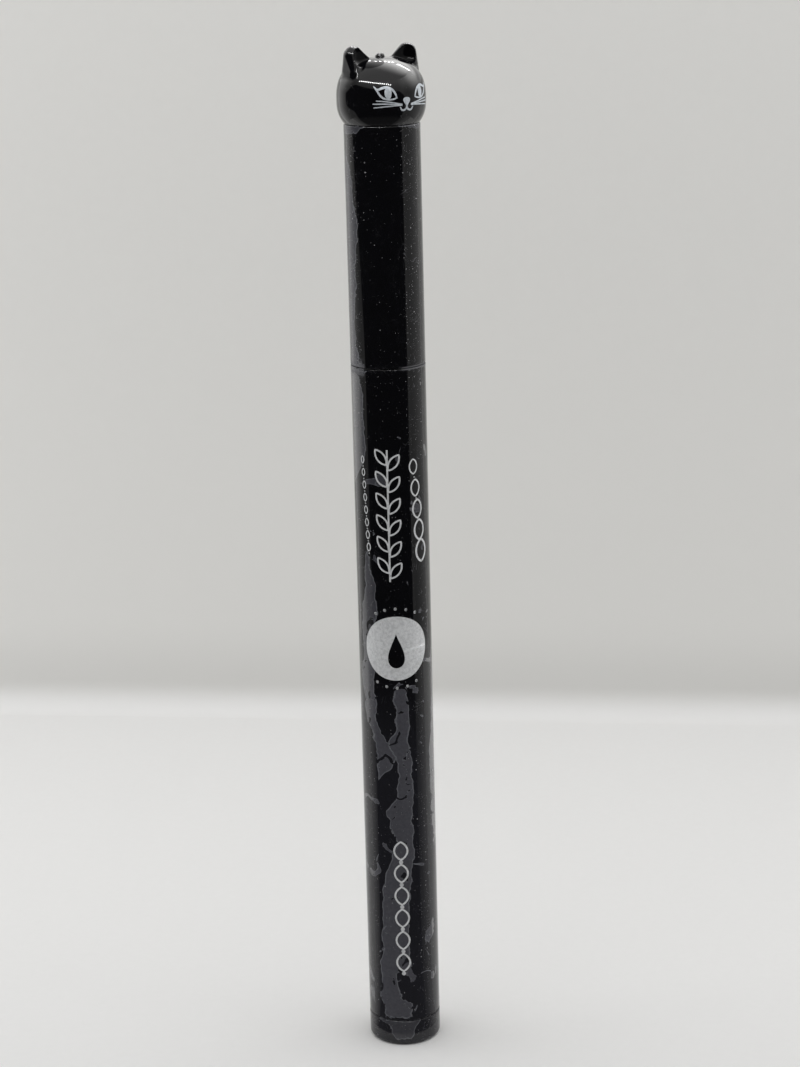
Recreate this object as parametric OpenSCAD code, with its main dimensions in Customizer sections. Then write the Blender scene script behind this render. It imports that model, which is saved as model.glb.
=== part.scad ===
// Liquid eyeliner pen with a cat's-head cap, standing on its foot.
// Sizes are in millimetres. The origin is the middle of the foot's flat face, +Z runs up the pen,
// and the front of the barrel faces -Y.

/* [Pen] */
// Outside diameter of the barrel and of the cap's tube
pen_d = 10.2; // [9.2:0.1:12]
// Height of the seam between the barrel and the cap
barrel_h = 99.8; // [85:0.2:120]
// Length of the cap's straight tube, from the seam to the head
cap_tube_h = 32.3; // [29:0.1:40]
// Turn of the cap away from the barrel's front
face_turn = 34; // [0:1:90]
// Break of the sharp edges at the ends of the barrel, the foot and the cap
edge_break = 0.25; // [0.2:0.05:0.3]

/* [Barrel] */
// Wall round the ink tank
barrel_wall = 1.3; // [1:0.05:1.6]
// Wall round the socket that takes the front section
socket_wall = 0.85; // [0.7:0.05:1]
// Depth of that socket
socket_h = 12; // [9:0.5:16]

/* [Tail plug] */
// Height of the foot that shows below the barrel
foot_h = 3.8; // [3:0.1:6]
// Radius of the foot's bottom edge
foot_round = 0.6; // [0.3:0.1:1]
// Thickness of the foot under the plug's cup
foot_floor = 1.5; // [1:0.1:2.2]
// Diameter of the shallow recess in the underside
recess_d = 5.6; // [4:0.1:7]
// Depth of that recess
recess_depth = 0.4; // [0.2:0.1:0.7]
// Length of the plug inside the barrel
plug_h = 9; // [7:0.5:12]
// Height of each sealing bead on the plug
plug_bead_h = 0.9; // [0.6:0.1:1.4]

/* [Mixing ball] */
// Diameter of the steel ball that stirs the ink
ball_d = 3.5; // [2.5:0.1:4]
// Room between the ball and the plug's cup, all round
ball_room = 0.55; // [0.3:0.05:0.8]

/* [Ink feed] */
// Diameter of the porous wick
wick_d = 1.8; // [1.4:0.1:2.2]
// Length of wick that hangs in the tank
wick_dip = 4; // [2:0.5:8]
// Thickness of the partition that closes the tank
partition_h = 4; // [3:0.5:6]
// Wall of the collector round the wick
core_wall = 0.95; // [0.6:0.05:1.2]
// Number of fins on the collector
fin_count = 22; // [12:1:30]
// Thickness of a fin
fin_t = 0.4; // [0.3:0.05:0.5]
// Gap between fins, which holds surplus ink
fin_gap = 0.5; // [0.4:0.05:0.7]
// Width of the slot that joins the gaps
fin_slot_w = 0.6; // [0.4:0.1:0.9]
// Length of the collector's spigot in the front section
spigot_h = 10; // [7:0.5:11]

/* [Nib] */
// Diameter of the fibre nib
nib_d = 1.95; // [1.6:0.05:2.3]
// Length of nib that stands out of the nozzle
nib_reach = 7; // [5:0.5:8]
// Length of nib held inside
nib_hold = 12; // [8:0.5:13]
// Diameter at the nib's very point
nib_point_d = 0.16; // [0.1:0.02:0.3]
// Wall of the sleeve that grips the nib
sleeve_wall = 0.45; // [0.35:0.05:0.6]
// Length of that sleeve
sleeve_h = 14; // [12.5:0.5:15.5]

/* [Front section] */
// Wall of the part that is pressed into the barrel
section_wall = 1.1; // [0.8:0.05:1.4]
// Length of the straight neck above the seam
neck_h = 5; // [4:0.25:6.5]
// Step in from the cap's bore to the neck
neck_relief = 0.2; // [0.15:0.05:0.3]
// Height of the friction ring on the neck
ring_h = 1.2; // [0.8:0.1:1.8]
// Length of the nose that the inner cap seals on
nose_h = 3.5; // [3:0.1:4.5]
// Length of the nozzle
nozzle_h = 2.2; // [1.6:0.1:3]
// Wall of the nozzle at its tip
nozzle_wall = 0.4; // [0.3:0.05:0.6]
// Step in from the nose to the foot of the nozzle
nozzle_step = 0.4; // [0.2:0.05:0.5]

/* [Cap] */
// Wall of the cap's tube
cap_wall = 0.85; // [0.7:0.05:1]
// Height of the bead that keeps the inner cap in
keeper_h = 0.6; // [0.4:0.1:1]
// How far that bead stands in from the bore
keeper_in = 0.3; // [0.2:0.05:0.4]

/* [Inner cap] */
// Wall of the inner cap
inner_wall = 0.4; // [0.3:0.05:0.5]
// Thickness of its roof
inner_roof = 0.6; // [0.4:0.1:1]
// Free height over the nib's point
nib_headroom = 4.6; // [4.5:0.1:6]
// Step in from the chamber to the sealing lip
lip_in = 0.3; // [0.2:0.05:0.4]
// Height of the sealing lip
lip_h = 2.4; // [2:0.1:2.8]
// Thickness of the flange that the cap's bead lifts
flange_h = 1; // [0.7:0.1:1.5]
// Float of the inner cap in the cap
seal_travel = 1; // [0.6:0.1:1.4]
// Height of the boss that centres the spring
spring_boss_h = 0.8; // [0.5:0.1:1.2]

/* [Spring] */
// Length of the spring with the cap on
spring_h = 6.2; // [5.5:0.1:7.5]
// Outside diameter of the spring
spring_d = 4.6; // [4:0.1:5.2]
// Diameter of its wire
wire_d = 0.35; // [0.25:0.05:0.45]
// Number of turns
spring_turns = 5; // [4:1:6]

/* [Cat head] */
// Largest diameter of the head
head_d = 11.9; // [10.8:0.1:13]
// Height of the head from the cap's tube to the crown
head_h = 8.6; // [7.8:0.1:9.5]
// Height of its widest ring above the tube
belly_h = 3.2; // [2.6:0.1:4]
// Step in from the tube to the head's lower edge
head_step = 0.13; // [0.05:0.01:0.2]
// Thickness of the crown over the spring
head_roof = 2.6; // [2.2:0.1:3]
// Length of the head's plug in the tube
head_plug_h = 5.5; // [4:0.5:7]
// Wall of that plug
head_plug_wall = 0.6; // [0.5:0.05:0.8]
// Diameter of the moulding mark on the crown
gate_d = 1.2; // [0.8:0.1:1.5]
// Height of that mark
gate_h = 0.45; // [0.1:0.05:0.6]

/* [Ears] */
// Height of the ears' tips above the crown
ear_rise = 1.65; // [1:0.05:2.4]
// Radius of an ear's tip
ear_tip_r = 1.3; // [0.9:0.05:1.5]
// Radius of its outer edge
ear_side_r = 0.75; // [0.6:0.05:0.9]
// Radius where its inner edge runs out on the crown
ear_inner_r = 0.45; // [0.4:0.05:0.8]
// Thickness of an ear where it leaves the head
ear_thick = 3.4; // [2.8:0.1:3.8]
// Width of the hollow in an ear's front
hollow_w = 3.8; // [3.4:0.1:4.2]
// Radius of the hollow's corners
hollow_r = 1.45; // [1.2:0.05:1.6]
// Distance of the hollow's floor from the ear's mid-plane
hollow_floor = 0.2; // [0.1:0.05:0.5]
// Height of the hollow's middle above the crown
hollow_rise = 0.3; // [0.2:0.05:0.6]

/* [Fits] */
// Gap round pieces that are pressed together
press_gap = 0.03; // [0.02:0.005:0.05]
// Gap round pieces that slide or turn on each other
slide_gap = 0.03; // [0.02:0.005:0.05]
// Gap round pieces that pass freely
free_gap = 0.12; // [0.08:0.01:0.2]
// Gap at the seam between cap and barrel
seam_gap = 0.1; // [0.05:0.01:0.2]

/* [Hidden] */
$fn = 96;
hull_fn = 30;
overrun = pen_d / 10;

// Radii, from the outside in
pen_r = pen_d / 2;
tank_r = pen_r - barrel_wall;
socket_r = pen_r - socket_wall;
cap_bore_r = pen_r - cap_wall;
ball_r = ball_d / 2;
cup_r = ball_r + ball_room;
head_r = head_d / 2;
head_foot_r = pen_r - head_step;
head_plug_r = cap_bore_r - press_gap;
head_bore_r = head_plug_r - head_plug_wall;
inner_r = head_bore_r - free_gap;
chamber_r = inner_r - inner_wall;
lip_r = chamber_r - lip_in;
flange_r = cap_bore_r - free_gap;
keeper_r = cap_bore_r - keeper_in;
nose_r = lip_r - slide_gap;
neck_r = cap_bore_r - neck_relief;
ring_r = cap_bore_r - slide_gap;
insert_r = socket_r - press_gap;
section_bore_r = insert_r - section_wall;

// Radii of the ink feed, from the inside out
wick_r = wick_d / 2;
nib_r = nib_d / 2;
core_r = wick_r + press_gap + core_wall;
fin_r = tank_r - free_gap;
sleeve_bore_r = max(nib_r, wick_r) + press_gap;
sleeve_r = sleeve_bore_r + sleeve_wall;
nozzle_bore_r = nib_r + press_gap;
nozzle_tip_r = nozzle_bore_r + nozzle_wall;

// Levels below the seam
seam_z = barrel_h;
ledge_z = seam_z - socket_h;
barrel_foot_z = foot_h + seam_gap;
plug_top_z = foot_h + plug_h;
spigot_top_z = ledge_z + spigot_h;
fin_pitch = fin_t + fin_gap;
fins_z = ledge_z - fin_count * fin_pitch;
partition_z = fins_z - partition_h;
wick_z = partition_z - wick_dip;

// Levels above the seam, from the crown down
cap_rim_z = seam_z + seam_gap;
cap_top_z = seam_z + cap_tube_h;
belly_z = cap_top_z + belly_h;
crown_z = cap_top_z + head_h;
ceiling_z = crown_z - head_roof;
inner_top_z = ceiling_z - spring_h;
chamber_top_z = inner_top_z - inner_roof;
nib_tip_z = chamber_top_z - nib_headroom;
nozzle_tip_z = nib_tip_z - nib_reach;
nose_top_z = nozzle_tip_z - nozzle_h;
nose_foot_z = nose_top_z - nose_h;
neck_top_z = seam_z + neck_h;
nib_foot_z = nozzle_tip_z - nib_hold;
lip_z = nose_foot_z + free_gap;
keeper_top_z = lip_z - seal_travel - free_gap;

// Places of the ears' corners and hollows: shares of the head's radius and of the dome's height
ear_out_share = 0.915;
ear_tip_share = 0.715;
ear_in_share = 0.25;
ear_root_share = 0.315;
ear_hollow_share = 0.5;
ear_side_x = head_r * ear_out_share - ear_side_r;
ear_tip_x = head_r * ear_tip_share;
ear_tip_z = crown_z + ear_rise - ear_tip_r;
ear_inner_x = head_r * ear_in_share + ear_inner_r;
ear_root_drop = (crown_z - belly_z) * ear_root_share;

// Points along an arc, from angle a to angle b
function arc(centre, r, a, b, steps = 8) =
    [for (i = [0:steps]) let (t = a + (b - a) * i / steps) centre + r * [cos(t), sin(t)]];

// A quarter of a superellipse, from its widest point to its top
function squarish(centre, half, power, steps) =
    [for (i = [0:steps]) let (t = 90 * i / steps)
        [centre.x + half.x * pow(cos(t), 2 / power), centre.y + half.y * pow(sin(t), 2 / power)]];

// A closed ring or solid turned about the pen's axis
module turned(outline) {
    rotate_extrude() polygon(outline);
}

// A plain ring with both outer edges broken
module ring(outer_r, inner_r, z, h, chamfer) {
    turned([
        [inner_r, z], [outer_r - chamfer, z], [outer_r, z + chamfer],
        [outer_r, z + h - chamfer], [outer_r - chamfer, z + h], [inner_r, z + h]
    ]);
}

// Foot and cup: pressed into the barrel from below
module tail_plug() {
    plug_r = tank_r - free_gap;
    bead_r = tank_r - press_gap;
    lead = bead_r - plug_r;
    recess_r = recess_d / 2;
    bead_levels = [foot_h + plug_bead_h, plug_top_z - 2 * plug_bead_h];
    color("#17171b") {
        turned(concat(
            [[0, recess_depth], [recess_r - recess_depth, recess_depth], [recess_r, 0]],
            arc([pen_r - foot_round, foot_round], foot_round, -90, 0),
            [
                [pen_r, foot_h - edge_break], [pen_r - edge_break, foot_h], [plug_r, foot_h],
                [plug_r, plug_top_z - lead], [plug_r - lead, plug_top_z],
                [cup_r, plug_top_z], [cup_r, foot_floor], [0, foot_floor]
            ]
        ));
        for (z = bead_levels) ring(bead_r, plug_r - lead, z, plug_bead_h, lead);
    }
}

// Outer shell: ink tank below, socket for the front section above
module barrel() {
    color("#17171b") turned([
        [tank_r, barrel_foot_z], [pen_r - edge_break, barrel_foot_z],
        [pen_r, barrel_foot_z + edge_break], [pen_r, seam_z - edge_break],
        [pen_r - edge_break, seam_z], [socket_r, seam_z],
        [socket_r, ledge_z], [tank_r, ledge_z]
    ]);
}

// Loose steel ball that lies in the plug's cup
module mixing_ball() {
    color("#c8ccd0") translate([0, 0, foot_floor + slide_gap + ball_r]) sphere(ball_r);
}

// Disc that closes the tank round the wick
module tank_partition() {
    color("#d9d6cc") ring(tank_r - press_gap, wick_r + press_gap, partition_z, partition_h, edge_break);
}

// Porous rod that carries ink from the tank to the nib
module feed_wick() {
    color("#f1efe6") translate([0, 0, wick_z]) cylinder(r = wick_r, h = nib_foot_z - wick_z);
}

// Finned comb that takes up surplus ink, and its spigot in the front section
module collector() {
    color("#e4e2da") difference() {
        union() {
            translate([0, 0, fins_z]) cylinder(r = core_r, h = spigot_top_z - fins_z);
            for (i = [0:fin_count - 1])
                translate([0, 0, fins_z + i * fin_pitch]) cylinder(r = fin_r, h = fin_t);
            translate([0, 0, ledge_z])
                cylinder(r = section_bore_r - press_gap, h = spigot_top_z - ledge_z);
        }
        translate([0, 0, fins_z - overrun])
            cylinder(r = wick_r + press_gap, h = spigot_top_z - fins_z + 2 * overrun);
        translate([core_r, -fin_slot_w / 2, fins_z - overrun])
            cube([fin_r, fin_slot_w, fin_count * fin_pitch + overrun]);
    }
}

// Grip end of the pen: insert, neck with friction ring, taper, sealing nose and nozzle
module front_section() {
    taper_h = nose_foot_z - neck_top_z;
    taper_in = neck_r - nose_r;
    taper = [for (i = [0:8]) let (t = i / 8)
        [neck_r - taper_in * (1 - cos(180 * t)) / 2, neck_top_z + taper_h * t]];
    ring_z = seam_z + (neck_h - ring_h) / 2;
    bore_step_z = spigot_top_z + press_gap;
    color("#1d1d22") {
        turned(concat(
            [[section_bore_r, ledge_z], [insert_r, ledge_z], [insert_r, seam_z], [neck_r, seam_z]],
            taper,
            [
                [nose_r, nose_top_z - edge_break], [nose_r - edge_break, nose_top_z],
                [nose_r - nozzle_step, nose_top_z], [nozzle_tip_r, nozzle_tip_z - edge_break],
                [nozzle_tip_r - edge_break, nozzle_tip_z], [nozzle_bore_r, nozzle_tip_z],
                [nozzle_bore_r, nose_top_z], [sleeve_r + press_gap, nose_top_z],
                [sleeve_r + press_gap, bore_step_z], [section_bore_r, bore_step_z]
            ]
        ));
        ring(ring_r, neck_r - neck_relief, ring_z, ring_h, ring_r - neck_r);
    }
}

// Sleeve that grips the nib inside the nozzle
module nib_sleeve() {
    color("#e8e6de") ring(sleeve_r, sleeve_bore_r, nose_top_z - sleeve_h, sleeve_h - press_gap, edge_break);
}

// Fibre nib, drawn to a fine point
module nib() {
    point_r = nib_point_d / 2;
    point_power = 1.3;
    point = [for (i = [0:10]) let (t = i / 10)
        [point_r + (nib_r - point_r) * pow(cos(90 * t), point_power), nozzle_tip_z + nib_reach * t]];
    color("#121214") turned(concat(
        [[0, nib_foot_z], [nib_r, nib_foot_z]], point, [[0, nib_tip_z]]
    ));
}

// Airtight cup over the nozzle, held up by the cap's bead when the cap comes off
module inner_cap() {
    lead = edge_break;
    boss_r = spring_d / 2 - wire_d - free_gap;
    lip_top_z = lip_z + lip_h;
    color("#eceae4") turned([
        [lip_r + lead, lip_z], [flange_r, lip_z], [flange_r, lip_z + flange_h],
        [inner_r, lip_z + flange_h], [inner_r, inner_top_z], [boss_r, inner_top_z],
        [boss_r, inner_top_z + spring_boss_h], [0, inner_top_z + spring_boss_h],
        [0, chamber_top_z], [chamber_r, chamber_top_z], [chamber_r, lip_top_z + lip_in],
        [lip_r, lip_top_z], [lip_r, lip_z + lead]
    ]);
}

// Helix of a round wire: rings of points across the wire's path, joined by faces
module wire_helix(mean_r, wire_r, z, h, turns, rings_per_turn = 16, sides = 6) {
    count = turns * rings_per_turn;
    slope = atan2(h, 2 * PI * mean_r * turns);
    points = [for (i = [0:count], k = [0:sides - 1]) let (
            turn = 360 * i / rings_per_turn,
            round = 360 * k / sides,
            out = mean_r + wire_r * cos(round),
            back = wire_r * sin(round) * sin(slope)
        )
        [out * cos(turn) + back * sin(turn), out * sin(turn) - back * cos(turn),
         z + h * i / count + wire_r * sin(round) * cos(slope)]];
    sides_faces = [for (i = [0:count - 1], k = [0:sides - 1]) let (
            a = i * sides + k,
            b = i * sides + (k + 1) % sides
        )
        each [[a, a + sides, b + sides], [a, b + sides, b]]];
    start_faces = [for (k = [1:sides - 2]) [0, k, k + 1]];
    last = count * sides;
    end_faces = [for (k = [1:sides - 2]) [last, last + k + 1, last + k]];
    polyhedron(points, concat(sides_faces, start_faces, end_faces));
}

// Spring that presses the inner cap on to its seat
module seal_spring() {
    wire_r = wire_d / 2;
    mean_r = spring_d / 2 - wire_r;
    end_gap = slide_gap + wire_r;
    rise = spring_h - 2 * end_gap;
    echo(gap_between_turns = rise / spring_turns - wire_d);
    color("#b9bec4") wire_helix(mean_r, wire_r, inner_top_z + end_gap, rise, spring_turns);
}

// Straight tube of the cap, with the bead that keeps the inner cap in
module cap_tube() {
    color("#17171b") turned([
        [cap_bore_r + edge_break, cap_rim_z], [pen_r - edge_break, cap_rim_z],
        [pen_r, cap_rim_z + edge_break], [pen_r, cap_top_z - edge_break],
        [pen_r - edge_break, cap_top_z], [cap_bore_r, cap_top_z],
        [cap_bore_r, keeper_top_z], [keeper_r, keeper_top_z],
        [keeper_r, keeper_top_z - keeper_h + keeper_in], [cap_bore_r, keeper_top_z - keeper_h],
        [cap_bore_r, cap_rim_z + edge_break]
    ]);
}

// One ear: a rounded three-cornered plate, thicker where it leaves the head, hollow in front
module ear(side) {
    root_y = ear_thick / 2 - ear_side_r;
    difference() {
        hull() {
            translate([side * ear_tip_x, 0, ear_tip_z]) sphere(ear_tip_r, $fn = hull_fn);
            translate([side * ear_side_x, 0, crown_z]) sphere(ear_side_r, $fn = hull_fn);
            translate([side * ear_inner_x, 0, crown_z - ear_inner_r]) sphere(ear_inner_r, $fn = hull_fn);
            for (y = [-root_y, root_y])
                translate([side * ear_side_x, y, crown_z - ear_root_drop])
                    sphere(ear_side_r, $fn = hull_fn);
        }
        ear_hollow(side);
    }
}

// The flat-floored hollow in an ear's front
module ear_hollow(side) {
    middle_x = side * head_r * ear_hollow_share;
    spread = hollow_w / 2 - hollow_r;
    hull() for (x = [middle_x - spread, middle_x + spread])
        translate([x, -hollow_floor - hollow_r, crown_z + hollow_rise]) sphere(hollow_r, $fn = hull_fn);
}

// Hollow cat's head with ears, plugged into the top of the tube
module cat_head() {
    step_in = head_r - head_foot_r;
    cheek_power = 2.7;
    crown_power = 2.5;
    cheek = [for (i = [0:8]) let (t = i / 8)
        [head_r - step_in * pow(1 - t, cheek_power), cap_top_z + belly_h * t]];
    dome = squarish([0, belly_z], [head_r, crown_z - belly_z], crown_power, 20);
    plug_z = cap_top_z - head_plug_h;
    color("#17171b") rotate(face_turn) difference() {
        union() {
            turned(concat(
                [[0, plug_z], [head_plug_r - edge_break, plug_z], [head_plug_r, plug_z + edge_break],
                 [head_plug_r, cap_top_z]],
                cheek, [for (i = [1:len(dome) - 1]) dome[i]]
            ));
            for (side = [-1, 1]) ear(side);
            translate([0, 0, crown_z - gate_h]) cylinder(d = gate_d, h = 2 * gate_h);
        }
        translate([0, 0, plug_z - overrun]) cylinder(r = head_bore_r, h = ceiling_z - plug_z + overrun);
    }
}

tail_plug();
barrel();
mixing_ball();
tank_partition();
feed_wick();
collector();
front_section();
nib_sleeve();
nib();
inner_cap();
seal_spring();
cap_tube();
cat_head();
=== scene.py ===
import functools
import itertools
import math
import random

import bmesh
import bpy
import numpy as np
from mathutils import Matrix, Vector


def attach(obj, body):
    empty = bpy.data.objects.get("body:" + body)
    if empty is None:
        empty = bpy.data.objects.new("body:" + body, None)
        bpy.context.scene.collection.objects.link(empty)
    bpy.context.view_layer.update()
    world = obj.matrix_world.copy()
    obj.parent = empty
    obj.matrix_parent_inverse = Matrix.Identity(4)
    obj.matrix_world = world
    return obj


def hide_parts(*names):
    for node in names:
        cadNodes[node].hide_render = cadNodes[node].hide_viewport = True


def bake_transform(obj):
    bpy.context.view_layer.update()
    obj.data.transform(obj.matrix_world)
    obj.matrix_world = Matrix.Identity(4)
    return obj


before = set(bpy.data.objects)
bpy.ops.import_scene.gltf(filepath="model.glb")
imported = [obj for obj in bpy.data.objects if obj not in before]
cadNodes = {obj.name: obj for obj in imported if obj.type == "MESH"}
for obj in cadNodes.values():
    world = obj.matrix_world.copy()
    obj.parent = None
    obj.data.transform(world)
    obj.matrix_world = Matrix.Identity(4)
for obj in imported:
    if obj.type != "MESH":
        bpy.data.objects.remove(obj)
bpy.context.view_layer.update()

# The meshes are drawn in millimetres and brought to metres when they are finished.
mm = 0.001
tubeRadius = 5.1
headTurn = 34  # degrees, how far the head looks aside on the cap
scene = bpy.context.scene

# where the photograph was taken from, in metres and degrees
cameraView = {
    "place": (0.0, -0.3162, 0.1631),
    "down": 15.456,
    "right": 0.188,
    "roll": -1.443,
    "lens": 79.8,
}


def placed(name, data):
    thing = bpy.data.objects.new(name, data)
    scene.collection.objects.link(thing)
    return thing


def makeCamera(view):
    down, right, roll = (math.radians(view[key]) for key in ("down", "right", "roll"))
    ahead = Vector((math.sin(right) * math.cos(down), math.cos(right) * math.cos(down), -math.sin(down)))
    level = ahead.cross(Vector((0, 0, 1))).normalized()
    upright = level.cross(ahead)
    across = math.cos(roll) * level + math.sin(roll) * upright
    up = math.cos(roll) * upright - math.sin(roll) * level
    camera = placed("photoCamera", bpy.data.cameras.new("photoCamera"))
    turn = Matrix((across, up, -ahead)).transposed().to_4x4()
    camera.matrix_world = Matrix.Translation(view["place"]) @ turn
    camera.data.lens = view["lens"]
    camera.data.clip_start = 0.01
    camera.data.clip_end = 60
    scene.camera = camera


makeCamera(cameraView)
print("camera set")


def sumNode(operation, swapped=False):
    def work(self, other):
        return self.bench.calc(operation, *((other, self) if swapped else (self, other)))
    return work


class Flow:
    # what a node gives out; a sum written with flows puts its own nodes in the tree
    __add__, __radd__ = sumNode("ADD"), sumNode("ADD", True)
    __sub__, __rsub__ = sumNode("SUBTRACT"), sumNode("SUBTRACT", True)
    __mul__, __rmul__ = sumNode("MULTIPLY"), sumNode("MULTIPLY", True)
    __truediv__, __pow__ = sumNode("DIVIDE"), sumNode("POWER")

    def __init__(self, bench, socket):
        self.bench, self.socket = bench, socket

    def __abs__(self):
        return self.bench.calc("ABSOLUTE", self)


class NodeBench:
    # puts nodes on a tree and joins them up
    family = "ShaderNode"

    def __init__(self, tree):
        self.tree = tree

    def join(self, value, socket):
        if isinstance(value, Flow):
            value = value.socket
        if isinstance(value, bpy.types.NodeSocket):
            self.tree.links.new(value, socket)
        else:
            socket.default_value = value

    def wire(self, node, inputs):
        for key, value in inputs.items():
            self.join(value, node.inputs[key])

    def put(self, kind, inputs=None, **settings):
        # the kinds that both sorts of tree know are named in full
        node = self.tree.nodes.new(kind if kind.startswith("ShaderNode") else self.family + kind)
        for key, value in settings.items():
            setattr(node, key, value)
        self.wire(node, inputs or {})
        return node

    def take(self, kind, inputs=None, outlet=0, **settings):
        return Flow(self, self.put(kind, inputs, **settings).outputs[outlet])

    def calc(self, operation, *values):
        return self.take("ShaderNodeMath", dict(enumerate(values)), operation=operation)

    def vector(self, operation, *values):
        return self.take("ShaderNodeVectorMath", dict(enumerate(values)), operation=operation)

    def xyz(self, x=0.0, y=0.0, z=0.0):
        return self.take("ShaderNodeCombineXYZ", {0: x, 1: y, 2: z})

    def split(self, vector):
        return [Flow(self, outlet) for outlet in self.put("ShaderNodeSeparateXYZ", {0: vector}).outputs]

    def ease(self, value, low, high, atLow=0.0, atHigh=1.0):
        inputs = {"Value": value, "From Min": low, "From Max": high, "To Min": atLow, "To Max": atHigh}
        return self.take("ShaderNodeMapRange", inputs, interpolation_type="SMOOTHSTEP")

    def noise(self, vector, scale, detail=2.0, roughness=0.5, flat=False, bend=0.0):
        inputs = {"Vector": vector, "Scale": scale, "Detail": detail, "Roughness": roughness,
                  "Distortion": bend}
        return self.take("TexNoise", inputs, noise_dimensions="2D" if flat else "3D")

    def mixed(self, share, a, b):
        return self.take("ShaderNodeMix", {0: share, 2: a, 3: b}, data_type="FLOAT")

    def tint(self, share, *colours):
        # from one colour to another; each is a node's or a plain (red, green, blue)
        a, b = ((*c, 1) if isinstance(c, tuple) else c for c in colours)
        return self.take("ShaderNodeMix", {0: share, 6: a, 7: b}, outlet=2, data_type="RGBA")

    def most(self, *values):
        return functools.reduce(lambda a, b: self.calc("MAXIMUM", a, b), values)

    def least(self, *values):
        return functools.reduce(lambda a, b: self.calc("MINIMUM", a, b), values)

    def coat(self, shader, colour, rough, height, deep):
        # colour, roughness and fine relief of a finish
        bump = self.take("Bump", {"Height": height, "Strength": 1.0, "Distance": deep})
        self.wire(shader, {"Base Color": colour, "Roughness": rough, "Normal": bump})


def shaded(colour, tone):
    return tuple(tone * c for c in colour)


def newFinish(name):
    finish = bpy.data.materials.new(name)
    finish.use_nodes = True
    bench = NodeBench(finish.node_tree)
    finish.node_tree.nodes.clear()
    shader = bench.put("BsdfPrincipled")
    bench.end = bench.put("OutputMaterial", {"Surface": shader.outputs[0]})
    return finish, bench, shader


def inMillimetres(bench):
    place = bench.take("TexCoord", outlet="Object")
    return bench.take("ShaderNodeVectorMath", {0: place, "Scale": 1000.0}, operation="SCALE")


def unrolled(bench, radius):
    # the tube's skin laid flat: millimetres round from the front, and millimetres up
    x, y, z = bench.split(inMillimetres(bench))
    angle = bench.calc("ARCTAN2", x, y * -1.0)
    return angle * radius, z


def specks(bench, vector, scale, size, share, flat=True):
    # grains of dust: a few cells hold one, and each has its own size
    cell = bench.put("TexVoronoi", {"Vector": vector, "Scale": scale},
                     voronoi_dimensions="2D" if flat else "3D")
    first, second, third = bench.split(cell.outputs["Color"])
    reach = (0.35 + second) * size
    near = bench.ease(cell.outputs["Distance"], reach * 0.6, reach, 1.0, 0.0)
    held = bench.calc("LESS_THAN", first, share)
    return near * held * bench.ease(third, 0.0, 1.0, 0.35, 1.0)


def scratches(bench, around, up, lean, scale, share):
    # short fine lines that lean one way: a contour of stretched noise, broken up by a second noise
    c, s = math.cos(math.radians(lean)), math.sin(math.radians(lean))
    along = around * s + up * c
    across = around * c - up * s
    flow = bench.xyz(across * scale, along * (scale * 0.16), lean)
    level = bench.noise(flow, 1.0, 1.0, 0.4, bend=0.6)
    line = bench.ease(abs(level - 0.5), 0.0, 0.011, 1.0, 0.0)
    part = bench.noise(bench.xyz(around, up, lean + 7.0), 0.55, 2.0, 0.6)
    return line * bench.ease(part, 1.0 - share, 1.02 - share)


def heightLine(bench, up, stops, key):
    # a place that changes along the pen, in millimetres, read from a ramp between the first and last stops
    low, high = stops[0][0], stops[-1][0]
    share = bench.take("ShaderNodeMapRange", {"Value": up, "From Min": low, "From Max": high})
    ramp = bench.put("ValToRGB", {0: share})
    elements = ramp.color_ramp.elements
    while len(elements) < len(stops):
        elements.new(0.5)
    for element, stop in zip(elements, stops):
        element.position = (stop[0] - low) / (high - low)
        shade = (stop[key] + 20) / 40
        element.color = (shade, shade, shade, 1)
    return Flow(bench, ramp.outputs[0]) * 40.0 - 20.0


# Each band of hazy skin: height, left edge and right edge, in millimetres on the unrolled barrel.
hazeBands = {
    "leftBand": [
        (40.5, -3.0, -3.4), (43.1, -3.1, -0.9), (44.5, -3.2, -0.2), (46.5, -3.6, -1.0), (48.3, -4.1, -2.4),
        (50.0, -5.3, -3.0), (52.5, -5.5, -3.1), (56.0, -5.9, -3.3), (60.0, -5.3, -3.1), (63.0, -5.4, -2.8),
        (66.3, -5.2, -2.5), (68.8, -4.6, -2.6), (71.0, -4.6, -3.1), (73.5, -4.2, -3.5), (75.5, -3.8, -4.2),
    ],
    "middleBand": [
        (4.3, -2.8, 0.8), (5.5, -3.1, 0.9), (6.6, -3.8, 1.1), (7.4, -3.9, -0.3), (8.6, -3.8, -0.7),
        (11.4, -3.6, -0.9), (12.4, -3.7, 1.2), (15.0, -3.1, 1.1), (17.5, -3.3, 1.0), (20.5, -3.1, 0.9),
        (24.3, -2.9, 1.3), (28.2, -1.9, 1.8), (31.0, -0.6, 1.8), (33.4, -1.1, 2.0),
        (36.3, -1.9, 2.1), (38.2, -0.5, 1.9), (40.5, -0.2, 2.0), (43.8, -0.2, 2.0), (46.8, -1.2, 1.5),
        (48.8, -0.2, 1.7), (52.0, -0.3, 1.8), (54.8, -0.5, 1.5), (56.0, 0.9, 0.3),
    ],
    "rightBand": [
        (29.0, 7.4, 6.6), (31.5, 6.2, 7.3), (34.5, 5.5, 7.4), (37.5, 5.4, 7.2), (41.0, 5.3, 7.5),
        (44.0, 5.2, 7.3), (47.0, 5.6, 7.4), (50.0, 6.0, 7.5), (54.0, 6.6, 7.5), (58.0, 6.3, 7.0),
        (62.0, 7.2, 7.6), (64.0, 7.8, 7.4),
    ],
    "seamBand": [
        (82.0, -7.5, -8.2), (84.0, -8.0, -6.2), (86.5, -8.4, -4.4), (88.5, -8.4, -3.6), (91.0, -8.6, -3.6),
        (93.4, -8.6, -3.9), (95.4, -8.4, -3.8), (97.1, -8.4, -4.1), (98.9, -8.4, -4.5), (99.4, -8.4, -3.3),
    ],
}


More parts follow.
